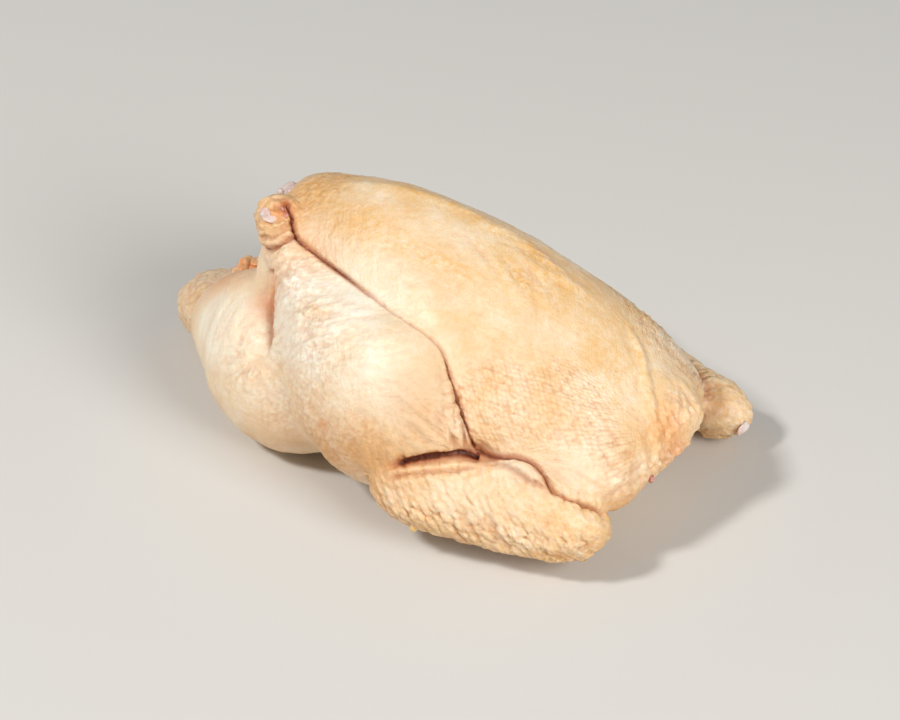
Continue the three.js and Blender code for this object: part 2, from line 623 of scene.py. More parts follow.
PEBBLED = (
    Patch((-152, 0, 24), (26, 28, 24), 1.0),
    Patch((-112, -30, 14), (30, 24, 14), 0.8),
    Patch((-93, -29, 94), (12, 11, 13), 0.85, False),
    Patch((-110, 3, 84), (14, 12, 14), 0.9, False),
    Patch((-72, -44, 84), (18, 14, 14), 0.75),
    Patch((-55, -60, 78), (18, 14, 14), 0.5),
    Patch((-45, -76, 44), (28, 14, 20), 0.6),
    Patch((-8, -82, 50), (18, 8, 12), 0.7),
    Patch((-88, -68, 40), (18, 14, 16), 0.25),
    Patch((82, -38, 36), (12, 16, 10), 0.9),
    Patch((86, -16, 34), (10, 20, 12), 0.8),
    Patch((62, -44, 56), (18, 12, 10), 0.3),
    Patch((86, 6, 46), (12, 22, 18), 0.15),
    Patch((0, 0, 0), (90, 70, 22), 0.8),
)

LUMPY = (
    Patch((-152, 0, 24), (26, 26, 22), 1.0),
    Patch((-92, -28, 96), (14, 12, 12), 0.7),
    Patch((80, -44, 40), (18, 18, 18), 0.8),
    Patch((60, -50, 56), (22, 18, 14), 0.5),
    Patch((88, 50, 20), (22, 20, 16), 0.9),
    Patch((86, 0, 42), (14, 26, 18), 0.5),
    Patch((-60, -58, 78), (24, 20, 20), 0.3),
    Patch((-30, -72, 30), (40, 20, 24), 0.4),
    Patch((0, -86, 26), (16, 14, 16), 0.7),
)

# Spots of colour. Their amounts are shares, cut off at 1 after the noise that breaks them up.
FAT = (
    Patch((-30, 8, 107), (54, 6, 10), 1.0, False),
    Patch((20, 10, 92), (40, 13, 12), 0.85, False),
    Patch((16, -9, 95), (22, 9, 10), 0.7, False),
    Patch((-18, -22, 100), (30, 6, 8), 0.65),
    Patch((-50, -18, 102), (24, 7, 8), 0.65),
    Patch((-85, 0, 103), (16, 18, 10), 0.45),
    Patch((60, 0, 68), (20, 22, 16), 0.45),
    Patch((-22, -62, 78), (16, 8, 10), 0.3),
    Patch((-52, -57, 80), (9, 7, 7), 0.6),
    Patch((50, -44, 62), (30, 18, 16), 0.25),
    Patch((-45, -76, 50), (30, 12, 20), 0.25),
    Patch((85, 50, 20), (22, 16, 16), 0.3),
    Patch((-150, -4, 30), (26, 22, 18), 0.35),
    Patch((86, 0, 46), (14, 26, 18), 0.35),
)

# Pale skin, and painted light: white painted as highlights where the leg and rump shine, and to lighten the
# tail and far wing.
PALE_SKIN_AND_LIGHT = (
    Patch((-52, -60, 78), (34, 26, 26), 1.7),
    Patch((-24, -70, 74), (28, 18, 20), 1.0),
    Patch((40, -50, 60), (22, 14, 12), 0.45),
    Patch((-100, -58, 56), (30, 28, 28), 1.0),
    Patch((70, -44, 52), (24, 20, 20), 0.6),
    Patch((40, -78, 36), (40, 14, 16), 0.5),
    Patch((-66, -70, 40), (26, 16, 26), 0.6),
    Patch((50, -62, 47), (11, 6, 7), 0.9, False),
    Patch((90, 50, 22), (22, 18, 18), 0.5, False),
    Patch((-150, -4, 30), (26, 22, 18), 0.65),
)

THIN = (
    Patch((-14, -33, 95), (34, 8, 10), 0.45),
    Patch((8, -44, 82), (18, 8, 12), 0.45),
    Patch((4, -70, 68), (18, 12, 13), 0.9),
    Patch((62, -53, 46), (14, 9, 9), 0.6),
    Patch((32, -24, 82), (18, 10, 10), 0.4),
    Patch((-10, 14, 103), (40, 6, 10), 0.3),
    Patch((52, -62, 44), (10, 6, 8), 0.8),
    Patch((40, -76, 34), (24, 10, 10), 0.3),
)

# Pink and orange skin, and painted light: a glow painted in the crease between leg and rump.
BLUSH_AND_PAINTED_LIGHT = (
    Patch((-118, 0, 48), (24, 22, 14), 0.9),
    Patch((-116, -30, 60), (16, 14, 10), 0.5),
    Patch((-132, -2, 38), (10, 14, 8), 0.3),
    # A painted glow of light in the crease between leg and rump.
    Patch((-84, -46, 69), (8, 8, 17), 0.6),
    Patch((-33.5, -80.6, 47), (2.5, 2.5, 2.5), 0.6, False),
    Patch((89, -8, 38), (6, 8, 8), 0.5, False),
    Patch((84, -8, 48), (8, 12, 10), 0.35, False),
    Patch((60, -60, 40), (12, 8, 8), 0.12),
    Patch((-90, -26, 101), (4, 5, 4), 0.65, False),
    Patch((-72, -30, 92), (16, 5, 6), 0.3),
)

# Tan skin at the hock, and painted shade on the undersides by the wing, thigh and neck.
TAN_AND_SHADE = (
    Patch((-94, -28, 96), (14, 12, 14), 0.2),
    Patch((-110, 3, 84), (14, 12, 14), 0.4, False),
    Patch((-10, -82, 40), (20, 9, 12), 1.0),
    Patch((-34, -80, 30), (18, 9, 11), 0.9),
    Patch((-58, -70, 20), (20, 10, 12), 0.6),
    Patch((84, -38, 28), (12, 14, 8), 0.8),
    Patch((10, -72, 60), (12, 10, 12), 0.4),
    Patch((-90, -8, 98), (16, 20, 14), 0.2),
    Patch((-4, -86, 26), (14, 10, 12), 0.25),
)


# The mesh as arrays.


class Clay:
    """A mesh held as arrays, so that its skin can be pushed, smoothed and painted in millimetres."""

    def __init__(self, mesh: bpy.types.Mesh) -> None:
        """Reads a mesh.

        Args:
            mesh: The mesh to shape.
        """
        self.mesh = mesh
        count = len(mesh.vertices)
        flat = np.zeros(count * 3, np.float32)
        mesh.vertices.foreach_get("co", flat)
        self.points = flat.reshape(-1, 3).astype(np.float64) / MM
        pairs = np.zeros(len(mesh.edges) * 2, np.int32)
        mesh.edges.foreach_get("vertices", pairs)
        self.pairs = pairs.reshape(-1, 2)
        self.valence = np.bincount(self.pairs.ravel(), minlength=count).astype(np.float64)

    def neighbour_mean(self, values: np.ndarray) -> np.ndarray:
        """The mean of each point's neighbours.

        Args:
            values: One number or one row a point.

        Returns:
            The means, in the same shape.
        """
        table = values if values.ndim == 2 else values[:, None]
        first, second = self.pairs.T
        total = np.stack(
            [
                np.bincount(first, column[second], len(table))
                + np.bincount(second, column[first], len(table))
                for column in table.T
            ],
            axis=1,
        )
        total /= np.maximum(self.valence, 1.0)[:, None]
        return total if values.ndim == 2 else total[:, 0]

    def blur(self, values: np.ndarray, rounds: int) -> np.ndarray:
        """Spreads values over the skin.

        Args:
            values: One number a point.
            rounds: How often they are spread.

        Returns:
            The spread values.
        """
        for _ in range(rounds):
            values = (1.0 - SMOOTHING) * values + SMOOTHING * self.neighbour_mean(values)
        return values

    def relax(self, rounds: int, weight: np.ndarray | float = 1.0, keep_size: bool = True) -> None:
        """Smooths the surface.

        Args:
            rounds: How often each point moves towards its neighbours.
            weight: How strongly, for each point.
            keep_size: Pushes back after each round, so that thin parts don't shrink.
        """
        share = weight[:, None] if isinstance(weight, np.ndarray) else weight
        for _ in range(rounds):
            self.points += SMOOTHING * share * (self.neighbour_mean(self.points) - self.points)
            if keep_size:
                self.points -= UNSHRINKING * share * (self.neighbour_mean(self.points) - self.points)

    def write(self) -> None:
        """Writes the points back to the mesh."""
        self.mesh.vertices.foreach_set("co", (self.points * MM).astype(np.float32).ravel())
        self.mesh.update()

    def normals(self) -> np.ndarray:
        """The outward normals of the points as they are now.

        Returns:
            One unit vector a point.
        """
        self.write()
        flat = np.zeros(len(self.points) * 3, np.float32)
        self.mesh.vertex_normals.foreach_get("vector", flat)
        return flat.reshape(-1, 3).astype(np.float64)

    def push(self, heights: np.ndarray) -> None:
        """Moves each point along its normal.

        Args:
            heights: How far, in millimetres.
        """
        self.points += self.normals() * heights[:, None]

    def hollowness(self) -> np.ndarray:
        """How sharply the skin is folded inwards at each point: 0 on flat or bulging skin."""
        towards = self.neighbour_mean(self.points) - self.points
        return np.maximum(np.einsum("ij,ij->i", towards, self.normals()), 0.0)

    def paint(self, name: str, values: np.ndarray) -> None:
        """Stores one number a point, for the material to read.

        Args:
            name: The attribute's name.
            values: The numbers.
        """
        layer = self.mesh.attributes.new(name, "FLOAT", "POINT")
        layer.data.foreach_set("value", values.astype(np.float32))


def surface_of(mesh: bpy.types.Mesh) -> BVHTree:
    """A tree that finds the nearest spot on a mesh."""
    corners = [vertex.co.copy() for vertex in mesh.vertices]
    return BVHTree.FromPolygons(corners, [tuple(face.vertices) for face in mesh.polygons])


def crease_tree(shell: bmesh.types.BMesh, region: tuple) -> KDTree:
    """Collects the places where the solid is folded inwards.

    Args:
        shell: The solid.
        region: The least and the greatest corner of the part of the bird that is searched, in millimetres.

    Returns:
        A tree of points along those edges, in millimetres.
    """
    low, high = (np.array(corner, float) for corner in region)
    spots = []
    for edge in shell.edges:
        if not edge.is_manifold or edge.is_convex or edge.calc_face_angle() < CREASE_ANGLE:
            continue
        start, end = (np.array(vert.co) / MM for vert in edge.verts)
        middle = 0.5 * (start + end)
        if np.all(middle > low) and np.all(middle < high):
            count = int(np.linalg.norm(end - start)) + 2
            spots.extend(start + share * (end - start) for share in np.linspace(0.0, 1.0, count))
    tree = KDTree(len(spots))
    for number, spot in enumerate(spots):
        tree.insert(spot, number)
    tree.balance()
    return tree


# Materials.

# What is painted on the skin for its material: what colours it, and what gives it relief.
COLOURS = ("pale_skin_and_light", "fat", "thin", "tan", "blush_and_painted_light", "fold", "valley")
RELIEFS = ("grit", "rows", "row_a", "row_b", "fan", "fan_a", "fan_b")

# A Mix node has its colours at the inputs 6 and 7, and gives their mix here.
COLOUR_OUTPUT = 2


def linear(hex_value: str) -> tuple[float, float, float, float]:
    """Turns an sRGB hex colour to linear.

    Args:
        hex_value: Such as "#F0CF9C".

    Returns:
        Red, green, blue and alpha.
    """
    parts = [int(hex_value[i : i + 2], 16) / 255.0 for i in (1, 3, 5)]
    return (*[p / 12.92 if p <= 0.04045 else ((p + 0.055) / 1.055) ** 2.4 for p in parts], 1.0)


class NodeTree:
    """A material's nodes, added one at a time with their settings and links."""

    def __init__(self, name: str) -> None:
        """Makes an empty material.

        Args:
            name: The material's name.
        """
        self.material = bpy.data.materials.new(name)
        self.material.use_nodes = True
        self.tree = self.material.node_tree
        self.tree.nodes.clear()

    def add(self, kind: str, settings: dict | None = None, output: int | str = 0, **inputs: object) -> object:
        """Adds one node.

        Args:
            kind: Blender's name for the node, without the words that all of them start with.
            settings: Its properties.
            output: Which of its outputs is wanted.
            **inputs: Its sockets by name, with underscores for spaces, or by number after the letter i. Each
                is a value or another node's output.

        Returns:
            The output's socket, or None for a node that has none.
        """
        node = self.tree.nodes.new("ShaderNode" + kind)
        for key, value in (settings or {}).items():
            setattr(node, key, value)
        for key, value in inputs.items():
            socket = node.inputs[int(key[1:]) if key[1:].isdigit() else key.replace("_", " ")]
            if isinstance(value, bpy.types.NodeSocket):
                self.tree.links.new(value, socket)
            else:
                socket.default_value = value
        return node.outputs[output] if node.outputs else None


@dataclass(frozen=True)
class SkinFinish:
    """Raw chicken skin: scalded, plucked and chilled, moist, thin, with yellow fat showing through it.

    The widths of its patterns are the real ones in millimetres: clouds and grains of fat, pores, the cobbles
    of rough skin (cell_mm) and the tight lines, which are line_stretch times as long as they are wide. Only
    the pores are drawn about twice as wide, because real ones would be too fine to show. The small follicles
    are counted for each large one.
    """

    cream: str = "#F1CB99"
    pale: str = "#FBE4C4"
    # This colour is partly paler skin, and partly painted highlight and painted light.
    pale_skin_and_light: str = "#FFF6E3"
    fat: str = "#EDB862"
    grey: str = "#E7C9A6"
    # This colour is blush of the skin, and also painted shade beside the folds and a painted glow in a
    # crease.
    blush_and_painted_light: str = "#E8975E"
    # This colour is tan skin, and also painted shade on the undersides.
    tan: str = "#DDAA72"
    # This colour is browner skin in the low ground, with painted shade on it.
    valley: str = "#CB7B34"
    # The next two colours are painted shade: red brown in the folds, and nearly black where no light gets in.
    fold: str = "#A0481C"
    deep: str = "#3A1208"
    roughness: float = 0.42
    dry_patches: float = 0.08
    index_of_refraction: float = 1.42
    subsurface: float = 0.25
    light_depth_mm: float = 2.0
    wet_film: float = 0.1
    film_roughness: float = 0.25
    cloud_mm: float = 18.0
    grain_mm: float = 2.4
    pore_mm: float = 1.1
    cell_mm: float = 2.2
    line_mm: float = 2.2
    line_stretch: float = 7.0
    relief_mm: float = 0.9
    relief_strength: float = 0.42
    small_follicles: float = 1.7
    painted: tuple = COLOURS + RELIEFS

    def build(self) -> bpy.types.Material:
        """Makes the material.

        Returns:
            The material.
        """
        nodes = NodeTree("chicken_skin_scalded")
        place = nodes.add("TexCoord", output="Object")
        painted = {name: nodes.add("Attribute", {"attribute_name": name}, "Fac") for name in self.painted}
        clouds, grains, pores = (
            nodes.add("TexNoise", Vector=place, Scale=1000.0 / size, Detail=detail, Roughness=0.58)
            for size, detail in ((self.cloud_mm, 5.0), (self.grain_mm, 3.0), (self.pore_mm, 4.0))
        )
        scales = self._small_follicles(nodes, painted)
        multiply = {"operation": "MULTIPLY", "use_clamp": True}
        # Fat lies under the skin in soft clouds, and on the breast in yellow streaks broken up into grains.
        clouded = nodes.add("MapRange", Value=clouds, From_Min=0.4, From_Max=0.64)
        grained = nodes.add("MapRange", Value=grains, From_Min=0.46, From_Max=0.62, To_Max=0.2)
        broken = nodes.add("MapRange", Value=grains, From_Min=0.42, From_Max=0.58, To_Min=0.3)
        streaks = nodes.add("Math", multiply, i0=painted["fat"], i1=broken)
        # Between the follicles the skin lies thinner and browner, and the low ground there is painted darker
        # as shade.
        valleys = nodes.add("Math", multiply, i0=painted["valley"], i1=0.7)
        small_valleys = nodes.add("MapRange", Value=scales, From_Min=0.3, From_Max=0.75, To_Max=0.35)
        # A fold is painted with shade, from red brown at its edge to nearly black where no light gets in.
        unlit = nodes.add("MapRange", Value=painted["fold"], From_Min=0.7, From_Max=1.0, To_Max=0.8)
        coats = (
            (clouded, self.pale),
            (grained, self.fat),
            (painted["pale_skin_and_light"], self.pale_skin_and_light),
            (streaks, self.fat),
            (painted["thin"], self.grey),
            (painted["tan"], self.tan),
            (painted["blush_and_painted_light"], self.blush_and_painted_light),
            (valleys, self.valley),
            (small_valleys, self.valley),
            (painted["fold"], self.fold),
            (unlit, self.deep),
        )
        colour = linear(self.cream)
        for share, tone in coats:
            mix = {"data_type": "RGBA"}
            colour = nodes.add("Mix", mix, COLOUR_OUTPUT, Factor=share, i6=colour, i7=linear(tone))
        # Moisture gathers in patches, so that the gloss comes and goes.
        moist = nodes.add(
            "MapRange",
            Value=clouds,
            From_Min=0.3,
            From_Max=0.7,
            To_Min=self.roughness + self.dry_patches,
            To_Max=self.roughness - self.dry_patches,
        )
        skin = nodes.add(
            "BsdfPrincipled",
            {"subsurface_method": "RANDOM_WALK"},
            Base_Color=colour,
            Roughness=moist,
            IOR=self.index_of_refraction,
            Normal=self._relief(nodes, place, painted, pores, scales),
            Subsurface_Weight=self.subsurface,
            Subsurface_Radius=(1.0, 0.5, 0.2),
            Subsurface_Scale=self.light_depth_mm * MM,
            Coat_Weight=self.wet_film,
            Coat_Roughness=self.film_roughness,
        )
        nodes.add("OutputMaterial", Surface=skin)
        return nodes.material

    def _small_follicles(self, nodes: NodeTree, painted: dict) -> object:
        """The small follicles that fill the rows between the large ones.

        Args:
            nodes: The material's nodes.
            painted: The sockets of what is painted on the skin, by name.

        Returns:
            The socket of the distance from their middles.
        """
        lattice = nodes.add("CombineXYZ", X=painted["row_a"], Y=painted["row_b"])
        away = nodes.add(
            "TexVoronoi",
            {"voronoi_dimensions": "2D"},
            "Distance",
            Vector=lattice,
            Scale=self.small_follicles,
            Randomness=0.55,
        )
        return nodes.add("Math", {"operation": "MULTIPLY", "use_clamp": True}, i0=away, i1=painted["rows"])

    def _relief(self, nodes: NodeTree, place: object, painted: dict, pores: object, scales: object) -> object:
        """The skin's relief that is finer than its mesh.

        Args:
            nodes: The material's nodes.
            place: The socket of the place on the bird.
            painted: The sockets of what is painted on the skin, by name.
            pores: The socket of the pores.
            scales: The socket of the small follicles.

        Returns:
            The socket of the bent normal.
        """
        # Tight lines run slantwise down the breast.
        slant = nodes.add(
            "Mapping",
            {"vector_type": "TEXTURE"},
            Vector=place,
            Rotation=(0.0, 0.47, -1.03),
            Scale=(self.line_stretch, 1.0, 1.0),
        )
        lines = nodes.add("TexNoise", Vector=slant, Scale=1000.0 / self.line_mm, Detail=2.0, Roughness=0.58)
        # Rough skin stands in small cobbles.
        cells = nodes.add("TexVoronoi", None, "Distance", Vector=place, Scale=1000.0 / self.cell_mm)
        cobbles = nodes.add("Math", {"operation": "MULTIPLY"}, i0=cells, i1=painted["grit"])
        # Fine lines fan out where the skin is drawn tight beside a wing and on a thigh.
        spread = nodes.add("CombineXYZ", X=painted["fan_a"], Y=painted["fan_b"])
        drawn = nodes.add("TexNoise", {"noise_dimensions": "2D"}, Vector=spread, Scale=1.0, Detail=1.5)
        drawn = nodes.add("Math", {"operation": "MULTIPLY"}, i0=drawn, i1=painted["fan"])
        height = pores
        for operation, part in (("ADD", lines), ("SUBTRACT", scales), ("SUBTRACT", cobbles), ("ADD", drawn)):
            height = nodes.add("Math", {"operation": operation}, i0=height, i1=part)
        return nodes.add("Bump", Strength=self.relief_strength, Distance=self.relief_mm * MM, Height=height)


@dataclass(frozen=True)
class WetTissueFinish:
    """Wet tissue that isn't skin, such as cartilage, fat or flesh, cut or torn and left glossy."""

    name: str
    main: str
    second: str
    patch_mm: float
    roughness: float = 0.28
    index_of_refraction: float = 1.4
    subsurface: float = 0.35
    light_depth_mm: float = 2.0
    relief_mm: float = 0.4

    def build(self) -> bpy.types.Material:
        """Makes the material.

        Returns:
            The material.
        """
        nodes = NodeTree(self.name)
        place = nodes.add("TexCoord", output="Object")
        clouds = nodes.add("TexNoise", Vector=place, Scale=1000.0 / self.patch_mm, Detail=4.0)
        share = nodes.add("MapRange", Value=clouds, From_Min=0.38, From_Max=0.62)
        # The two tones run into each other, as they do in fat and gristle.
        mix = {"data_type": "RGBA"}
        main, second = linear(self.main), linear(self.second)
        colour = nodes.add("Mix", mix, COLOUR_OUTPUT, Factor=share, i6=main, i7=second)
        shader = nodes.add(
            "BsdfPrincipled",
            {"subsurface_method": "RANDOM_WALK"},
            Base_Color=colour,
            Roughness=self.roughness,
            IOR=self.index_of_refraction,
            Normal=nodes.add("Bump", Strength=0.3, Distance=self.relief_mm * MM, Height=clouds),
            Subsurface_Weight=self.subsurface,
            Subsurface_Radius=(1.0, 0.5, 0.35),
            Subsurface_Scale=self.light_depth_mm * MM,
        )
        nodes.add("OutputMaterial", Surface=shader)
        return nodes.material


# The skin.


@dataclass(frozen=True)
class Wrinkles:
    """A patch of skin drawn into small creases, in millimetres.

    The creases run along a direction, each several spacings long. Where radial is set, they fan out from the
    middle instead: spacing then counts them for each radian, and length is in millimetres.
    """

    at: tuple
    reach: tuple
    along: tuple
    spacing: float
    height: float
    radial: bool = False
    mirrored: bool = True
    length: float = 5.0


WRINKLES = (
    Wrinkles((-46, -62, 77), (24, 18, 18), (0.84, 0.54, 0.1), 2.4, 0.8),
    Wrinkles((-14, -70, 70), (26, 14, 16), (0.84, 0.54, 0.1), 2.6, 0.3, length=8.0),
    Wrinkles((-100, -56, 54), (26, 20, 24), (-0.2, 0.1, 1.0), 3.0, 0.3, length=8.0),
    Wrinkles((-20, -56, 84), (16, 12, 14), (0.84, 0.54, 0.1), 2.2, 0.35),
    Wrinkles((-78, -42, 86), (14, 14, 14), (0.5, 0.1, 0.8), 2.6, 0.6),
    Wrinkles((-94, -28, 96), (12, 12, 12), (0.75, 0.5, 0.4), 2.4, 0.9),
    Wrinkles((-76, -64, 56), (20, 14, 24), (0.0, 0.0, 1.0), 6.0, 0.75, radial=True),
    Wrinkles((50, -57, 49), (28, 20, 18), (0.0, 0.0, 1.0), 8.0, 0.6, radial=True, length=16.0),
    Wrinkles((16, -9, 95), (20, 9, 10), (0.83, -0.3, -0.4), 2.8, 0.75),
    Wrinkles((-8, -10, 102), (16, 6, 8), (0.83, -0.3, -0.4), 3.0, 0.4),
    Wrinkles((6, -36, 89), (34, 14, 14), (0.45, -0.75, -0.45), 1.9, 0.2, length=7.0),
    Wrinkles((-60, -26, 98), (24, 12, 12), (0.45, -0.75, -0.45), 2.2, 0.22),
    Wrinkles((-88, -10, 100), (12, 16, 12), (0.5, -0.7, -0.5), 2.6, 0.5),
    Wrinkles((85, -4, 48), (11, 22, 18), (0.3, -0.35, 0.9), 2.2, 0.7, length=6.0),
    Wrinkles((88, -18, 38), (8, 10, 12), (0.2, 0.4, 0.9), 2.2, 0.9),
    Wrinkles((19, -66, 60), (8, 9, 14), (0.35, -0.3, -0.9), 2.0, 0.9),
    Wrinkles((10, -71, 62), (17, 10, 15), (0.81, 0.05, -0.58), 2.1, 0.75, length=6.0),
    Wrinkles((84, -38, 34), (12, 14, 12), (0.6, 0.7, 0.2), 3.2, 0.9),
    Wrinkles((-2, -84, 37), (8, 8, 8), (0.3, 0.2, 0.9), 2.4, 0.8),
    Wrinkles((86, 52, 22), (14, 14, 14), (0.7, 0.5, 0.4), 3.0, 0.6),
    Wrinkles((-30, -20, 8), (60, 30, 14), (0.1, 1.0, 0.0), 4.0, 0.5),
)


@dataclass(frozen=True)
class Rows:
    """A patch of feather follicles, with the height of its domes, in millimetres."""

    at: tuple
    reach: tuple
    height: float


BODY_ROWS = (
    Rows((55, -38, 62), (26, 20, 18), 1.15),
    Rows((32, -52, 66), (22, 18, 16), 1.35),
    Rows((76, -38, 48), (16, 16, 14), 1.1),
    Rows((20, -34, 82), (22, 10, 10), 0.35),
    Rows((-17, -26, 99), (40, 8, 14), 0.35),
    Rows((-63, -23, 101), (22, 14, 14), 0.45),
    Rows((-85, -12, 99), (16, 20, 14), 0.3),
    Rows((-40, -70, 62), (20, 14, 18), 0.35),
)


@dataclass(frozen=True)
class Fan:
    """Fine lines that fan out over tight skin from one spot, in millimetres.

    Lines counts them for each radian, and facing is the way that the skin faces there.
    """

    start: tuple
    middle: tuple
    reach: tuple
    facing: tuple
    lines: float
    amount: float
    length: float = 15.0

    def spread(self, points: np.ndarray) -> np.ndarray:
        """Lays the lines over both sides of the bird.

        Args:
            points: The skin's points.

        Returns:
            The place across the lines, the place along them and how strong they are, one row each.
        """
        mirrored = points * (1.0, 0.0, 1.0) - np.abs(points) * (0.0, 1.0, 0.0)
        facing = np.array(self.facing) / np.linalg.norm(self.facing)
        along = np.array(self.middle) - self.start
        along -= facing * (along @ facing)
        along /= np.linalg.norm(along)
        offset = mirrored - self.start
        u, v = offset @ along, offset @ np.cross(facing, along)
        radius = np.hypot(u, v)
        away = np.linalg.norm((mirrored - self.middle) / np.array(self.reach), axis=1)
        strength = self.amount * np.exp(-away * away) * smooth_step(radius, 2.0, 6.0)
        return np.stack([np.arctan2(v, u) * self.lines, radius / self.length, strength])


FANS = (
    Fan((44.0, -57.0, 49.0), (65.0, -54.0, 44.0), (19.0, 10.0, 9.0), (0.45, -0.5, 0.74), 8.5, 4.2),
    Fan((30.0, -65.0, 48.0), (12.0, -71.0, 61.0), (19.0, 9.0, 14.0), (0.5, -0.73, 0.45), 8.0, 3.0),
)


@dataclass
class Skin:
    """The bird's whole skin: a fine copy of the CAD solid, sculpted in code.

    Lengths are in millimetres, and the smoothings are rounds. The face budget counts triangles, and
    faces_per_point is how many faces each point that is made finer adds. Stones and gravel are the coarse
    and the fine pebbles of rough skin, and the bases are the heights that count as level ground among them
    or among the follicles.
    """

    voxel_mm: float = 1.5
    voxel_smoothing: int = 16
    crease_smoothing: int = 30
    fold_lines: tuple = FOLDS
    finish: SkinFinish = field(default_factory=SkinFinish)
    axis_height: float = 46.0
    trunk_radius: float = 58.0
    wing_radius: float = 15.0
    wing_height: float = 1.5
    wing_edge: tuple = (17.0, 20.0)
    wing_inner_edge: tuple = (-11.0, -6.0)
    face_budget: int = 196000
    faces_per_point: float = 3.1
    least_wish: float = 0.15
    narrow_fold_mm: float = 2.5
    fine_beside_mm: float = 4.0
    longest_shift: float = 3.5
    natural_depth: float = 1.8
    far_shade_mm: float = 1.1
    body_row_mm: float = 3.3
    body_follicle_mm: float = 3.6
    wing_row_mm: float = 3.9
    wing_follicle_mm: float = 5.4
    follicle_base: float = 0.35
    streak_mm: float = 1.9
    streak_length_mm: float = 15.0
    stone_mm: float = 4.2
    gravel_mm: float = 2.7
    stone_base: float = 0.6
    grain_mm: float = 2.6
    grain_height: float = 0.3
    lump_mm: float = 8.0
    swell_mm: float = 34.0
    swell_height: float = 0.5
    far_region: tuple = ((-105.0, 20.0, 6.0), (95.0, 90.0, 100.0))
    far_margin: float = 9.0
    far_creases: KDTree = field(default=None, init=False)
    wing_lines: dict = field(
        default_factory=lambda: {
            Side.LEFT: ((-12, -80, 30), (19, -73, 28), (52, -63, 26), (88, -51, 24)),
            Side.RIGHT: ((-8, 78, 22), (24, 70, 18), (58, 60, 15), (93, 50, 16)),
        }
    )

    def build(self, source: bpy.types.Object) -> bpy.types.Object:
        """Makes the skin.

        Args:
            source: The CAD node, which is copied and left alone.

        Returns:
            The finished piece.
        """
        piece = self._fine_copy(source)
        clay = Clay(piece.data)
        clay.relax(self.voxel_smoothing)
        self._calm_near_lines(clay)
        clay = self._refine(piece, clay)
        folded = self._fold(clay)
        relief = self._roughen(clay, folded)
        self._paint(clay, folded, relief)
        clay.write()
        piece.data.shade_smooth()
        piece.data.materials.clear()
        piece.data.materials.append(self.finish.build())
        return piece

    def _fine_copy(self, source: bpy.types.Object) -> bpy.types.Object:
        """Copies the CAD solid and gives it even, fine faces.

        Args:
            source: The CAD node.

        Returns:
            The copy.
        """
        shell = bmesh.new()
        shell.from_mesh(source.data)
        bmesh.ops.remove_doubles(shell, verts=shell.verts, dist=0.00001)
        self.far_creases = crease_tree(shell, self.far_region)
        mesh = bpy.data.meshes.new("skin_source")
        shell.to_mesh(mesh)
        shell.free()
        piece = bpy.data.objects.new("skin", mesh)
        bpy.context.scene.collection.objects.link(piece)
        remesh = piece.modifiers.new("even", "REMESH")
        remesh.mode = "VOXEL"
        remesh.voxel_size = self.voxel_mm * MM
        graph = bpy.context.evaluated_depsgraph_get()
        fine = bpy.data.meshes.new_from_object(piece.evaluated_get(graph))
        piece.modifiers.clear()
        piece.data = fine
        fine.name = "skin"
        bpy.data.meshes.remove(mesh)
        return piece

    def _calm_near_lines(self, clay: Clay) -> None:
        """Smooths away the solid's own crease where a drawn fold takes its place.

        Args:
            clay: The skin.
        """
        calm = np.zeros(len(clay.points))
        for fold in self.fold_lines:
            if fold.calm:
                away, _ = distance_to_line(clay.points, fold.curve())
                calm = np.maximum(calm, fold.calm * (1.0 - smooth_step(away, 3.0, 7.0)))
        for crease in FILLED_CREASES.values():
            away, _ = distance_to_line(clay.points, smooth_line(crease))
            calm = np.maximum(calm, 1.0 - smooth_step(away, 8.0, 18.0))
        clay.relax(self.crease_smoothing, calm, keep_size=False)
        clay.write()

    def _refine(self, piece: bpy.types.Object, clay: Clay) -> Clay:
        """Splits the faces where the relief is fine: along the folds, on the near wing and on rough skin.

        Args:
            piece: The skin's object.
            clay: The skin's arrays.

        Returns:
            New arrays for the finer mesh.
        """
        # The wish says how much a place wants finer faces. Narrow folds come first, then the far creases, the
        # near wing and rough skin, and the underside stays coarse.
        points = clay.points
        wish = np.zeros(len(points))
        for fold in self.fold_lines:
            if fold.width < self.narrow_fold_mm:
                away, _ = distance_to_line(points, fold.curve())
                wish = np.maximum(wish, 3.0 * (away < self.fine_beside_mm))
        wish = np.maximum(wish, 2.5 * (self._far_distance(points) < self.fine_beside_mm))
        wing, _, _ = self._wing_share(points)
        shown = (points[:, 1] < 0.0) & (points[:, 2] > 8.0)
        wish = np.maximum(wish, 2.0 * ((wing > 0.4) & shown))
        rough = self._patches(points, tuple(Patch(r.at, r.reach, r.height, False) for r in BODY_ROWS))
        rough = np.maximum(rough, self._patches(points, PEBBLED))
        rough = np.maximum(rough, 1.3 * self._patches(points, FINE_PEBBLED))
        far_wing = (points[:, 0] > 60.0) & (wing > 0.3)
        wish = np.maximum(wish, rough * (points[:, 2] > 12.0) * ((points[:, 1] < 20.0) | far_wing))
        wish = np.maximum(wish, 1.5 * far_wing * (points[:, 2] > 6.0))
        order = np.argsort(-wish, kind="stable")
        room = int((self.face_budget / 2 - len(piece.data.polygons)) / self.faces_per_point)
        fine = np.zeros(len(points), bool)
        fine[order[:room]] = True
        fine &= wish > self.least_wish
        shell = bmesh.new()
        shell.from_mesh(piece.data)
        shell.verts.ensure_lookup_table()
        chosen = [e for e in shell.edges if fine[e.verts[0].index] and fine[e.verts[1].index]]
        bmesh.ops.subdivide_edges(shell, edges=chosen, cuts=1, use_grid_fill=True)
        bmesh.ops.triangulate(shell, faces=[f for f in shell.faces if len(f.verts) > 4])
        shell.to_mesh(piece.data)
        shell.free()
        finer = Clay(piece.data)
        finer.relax(2)
        return finer

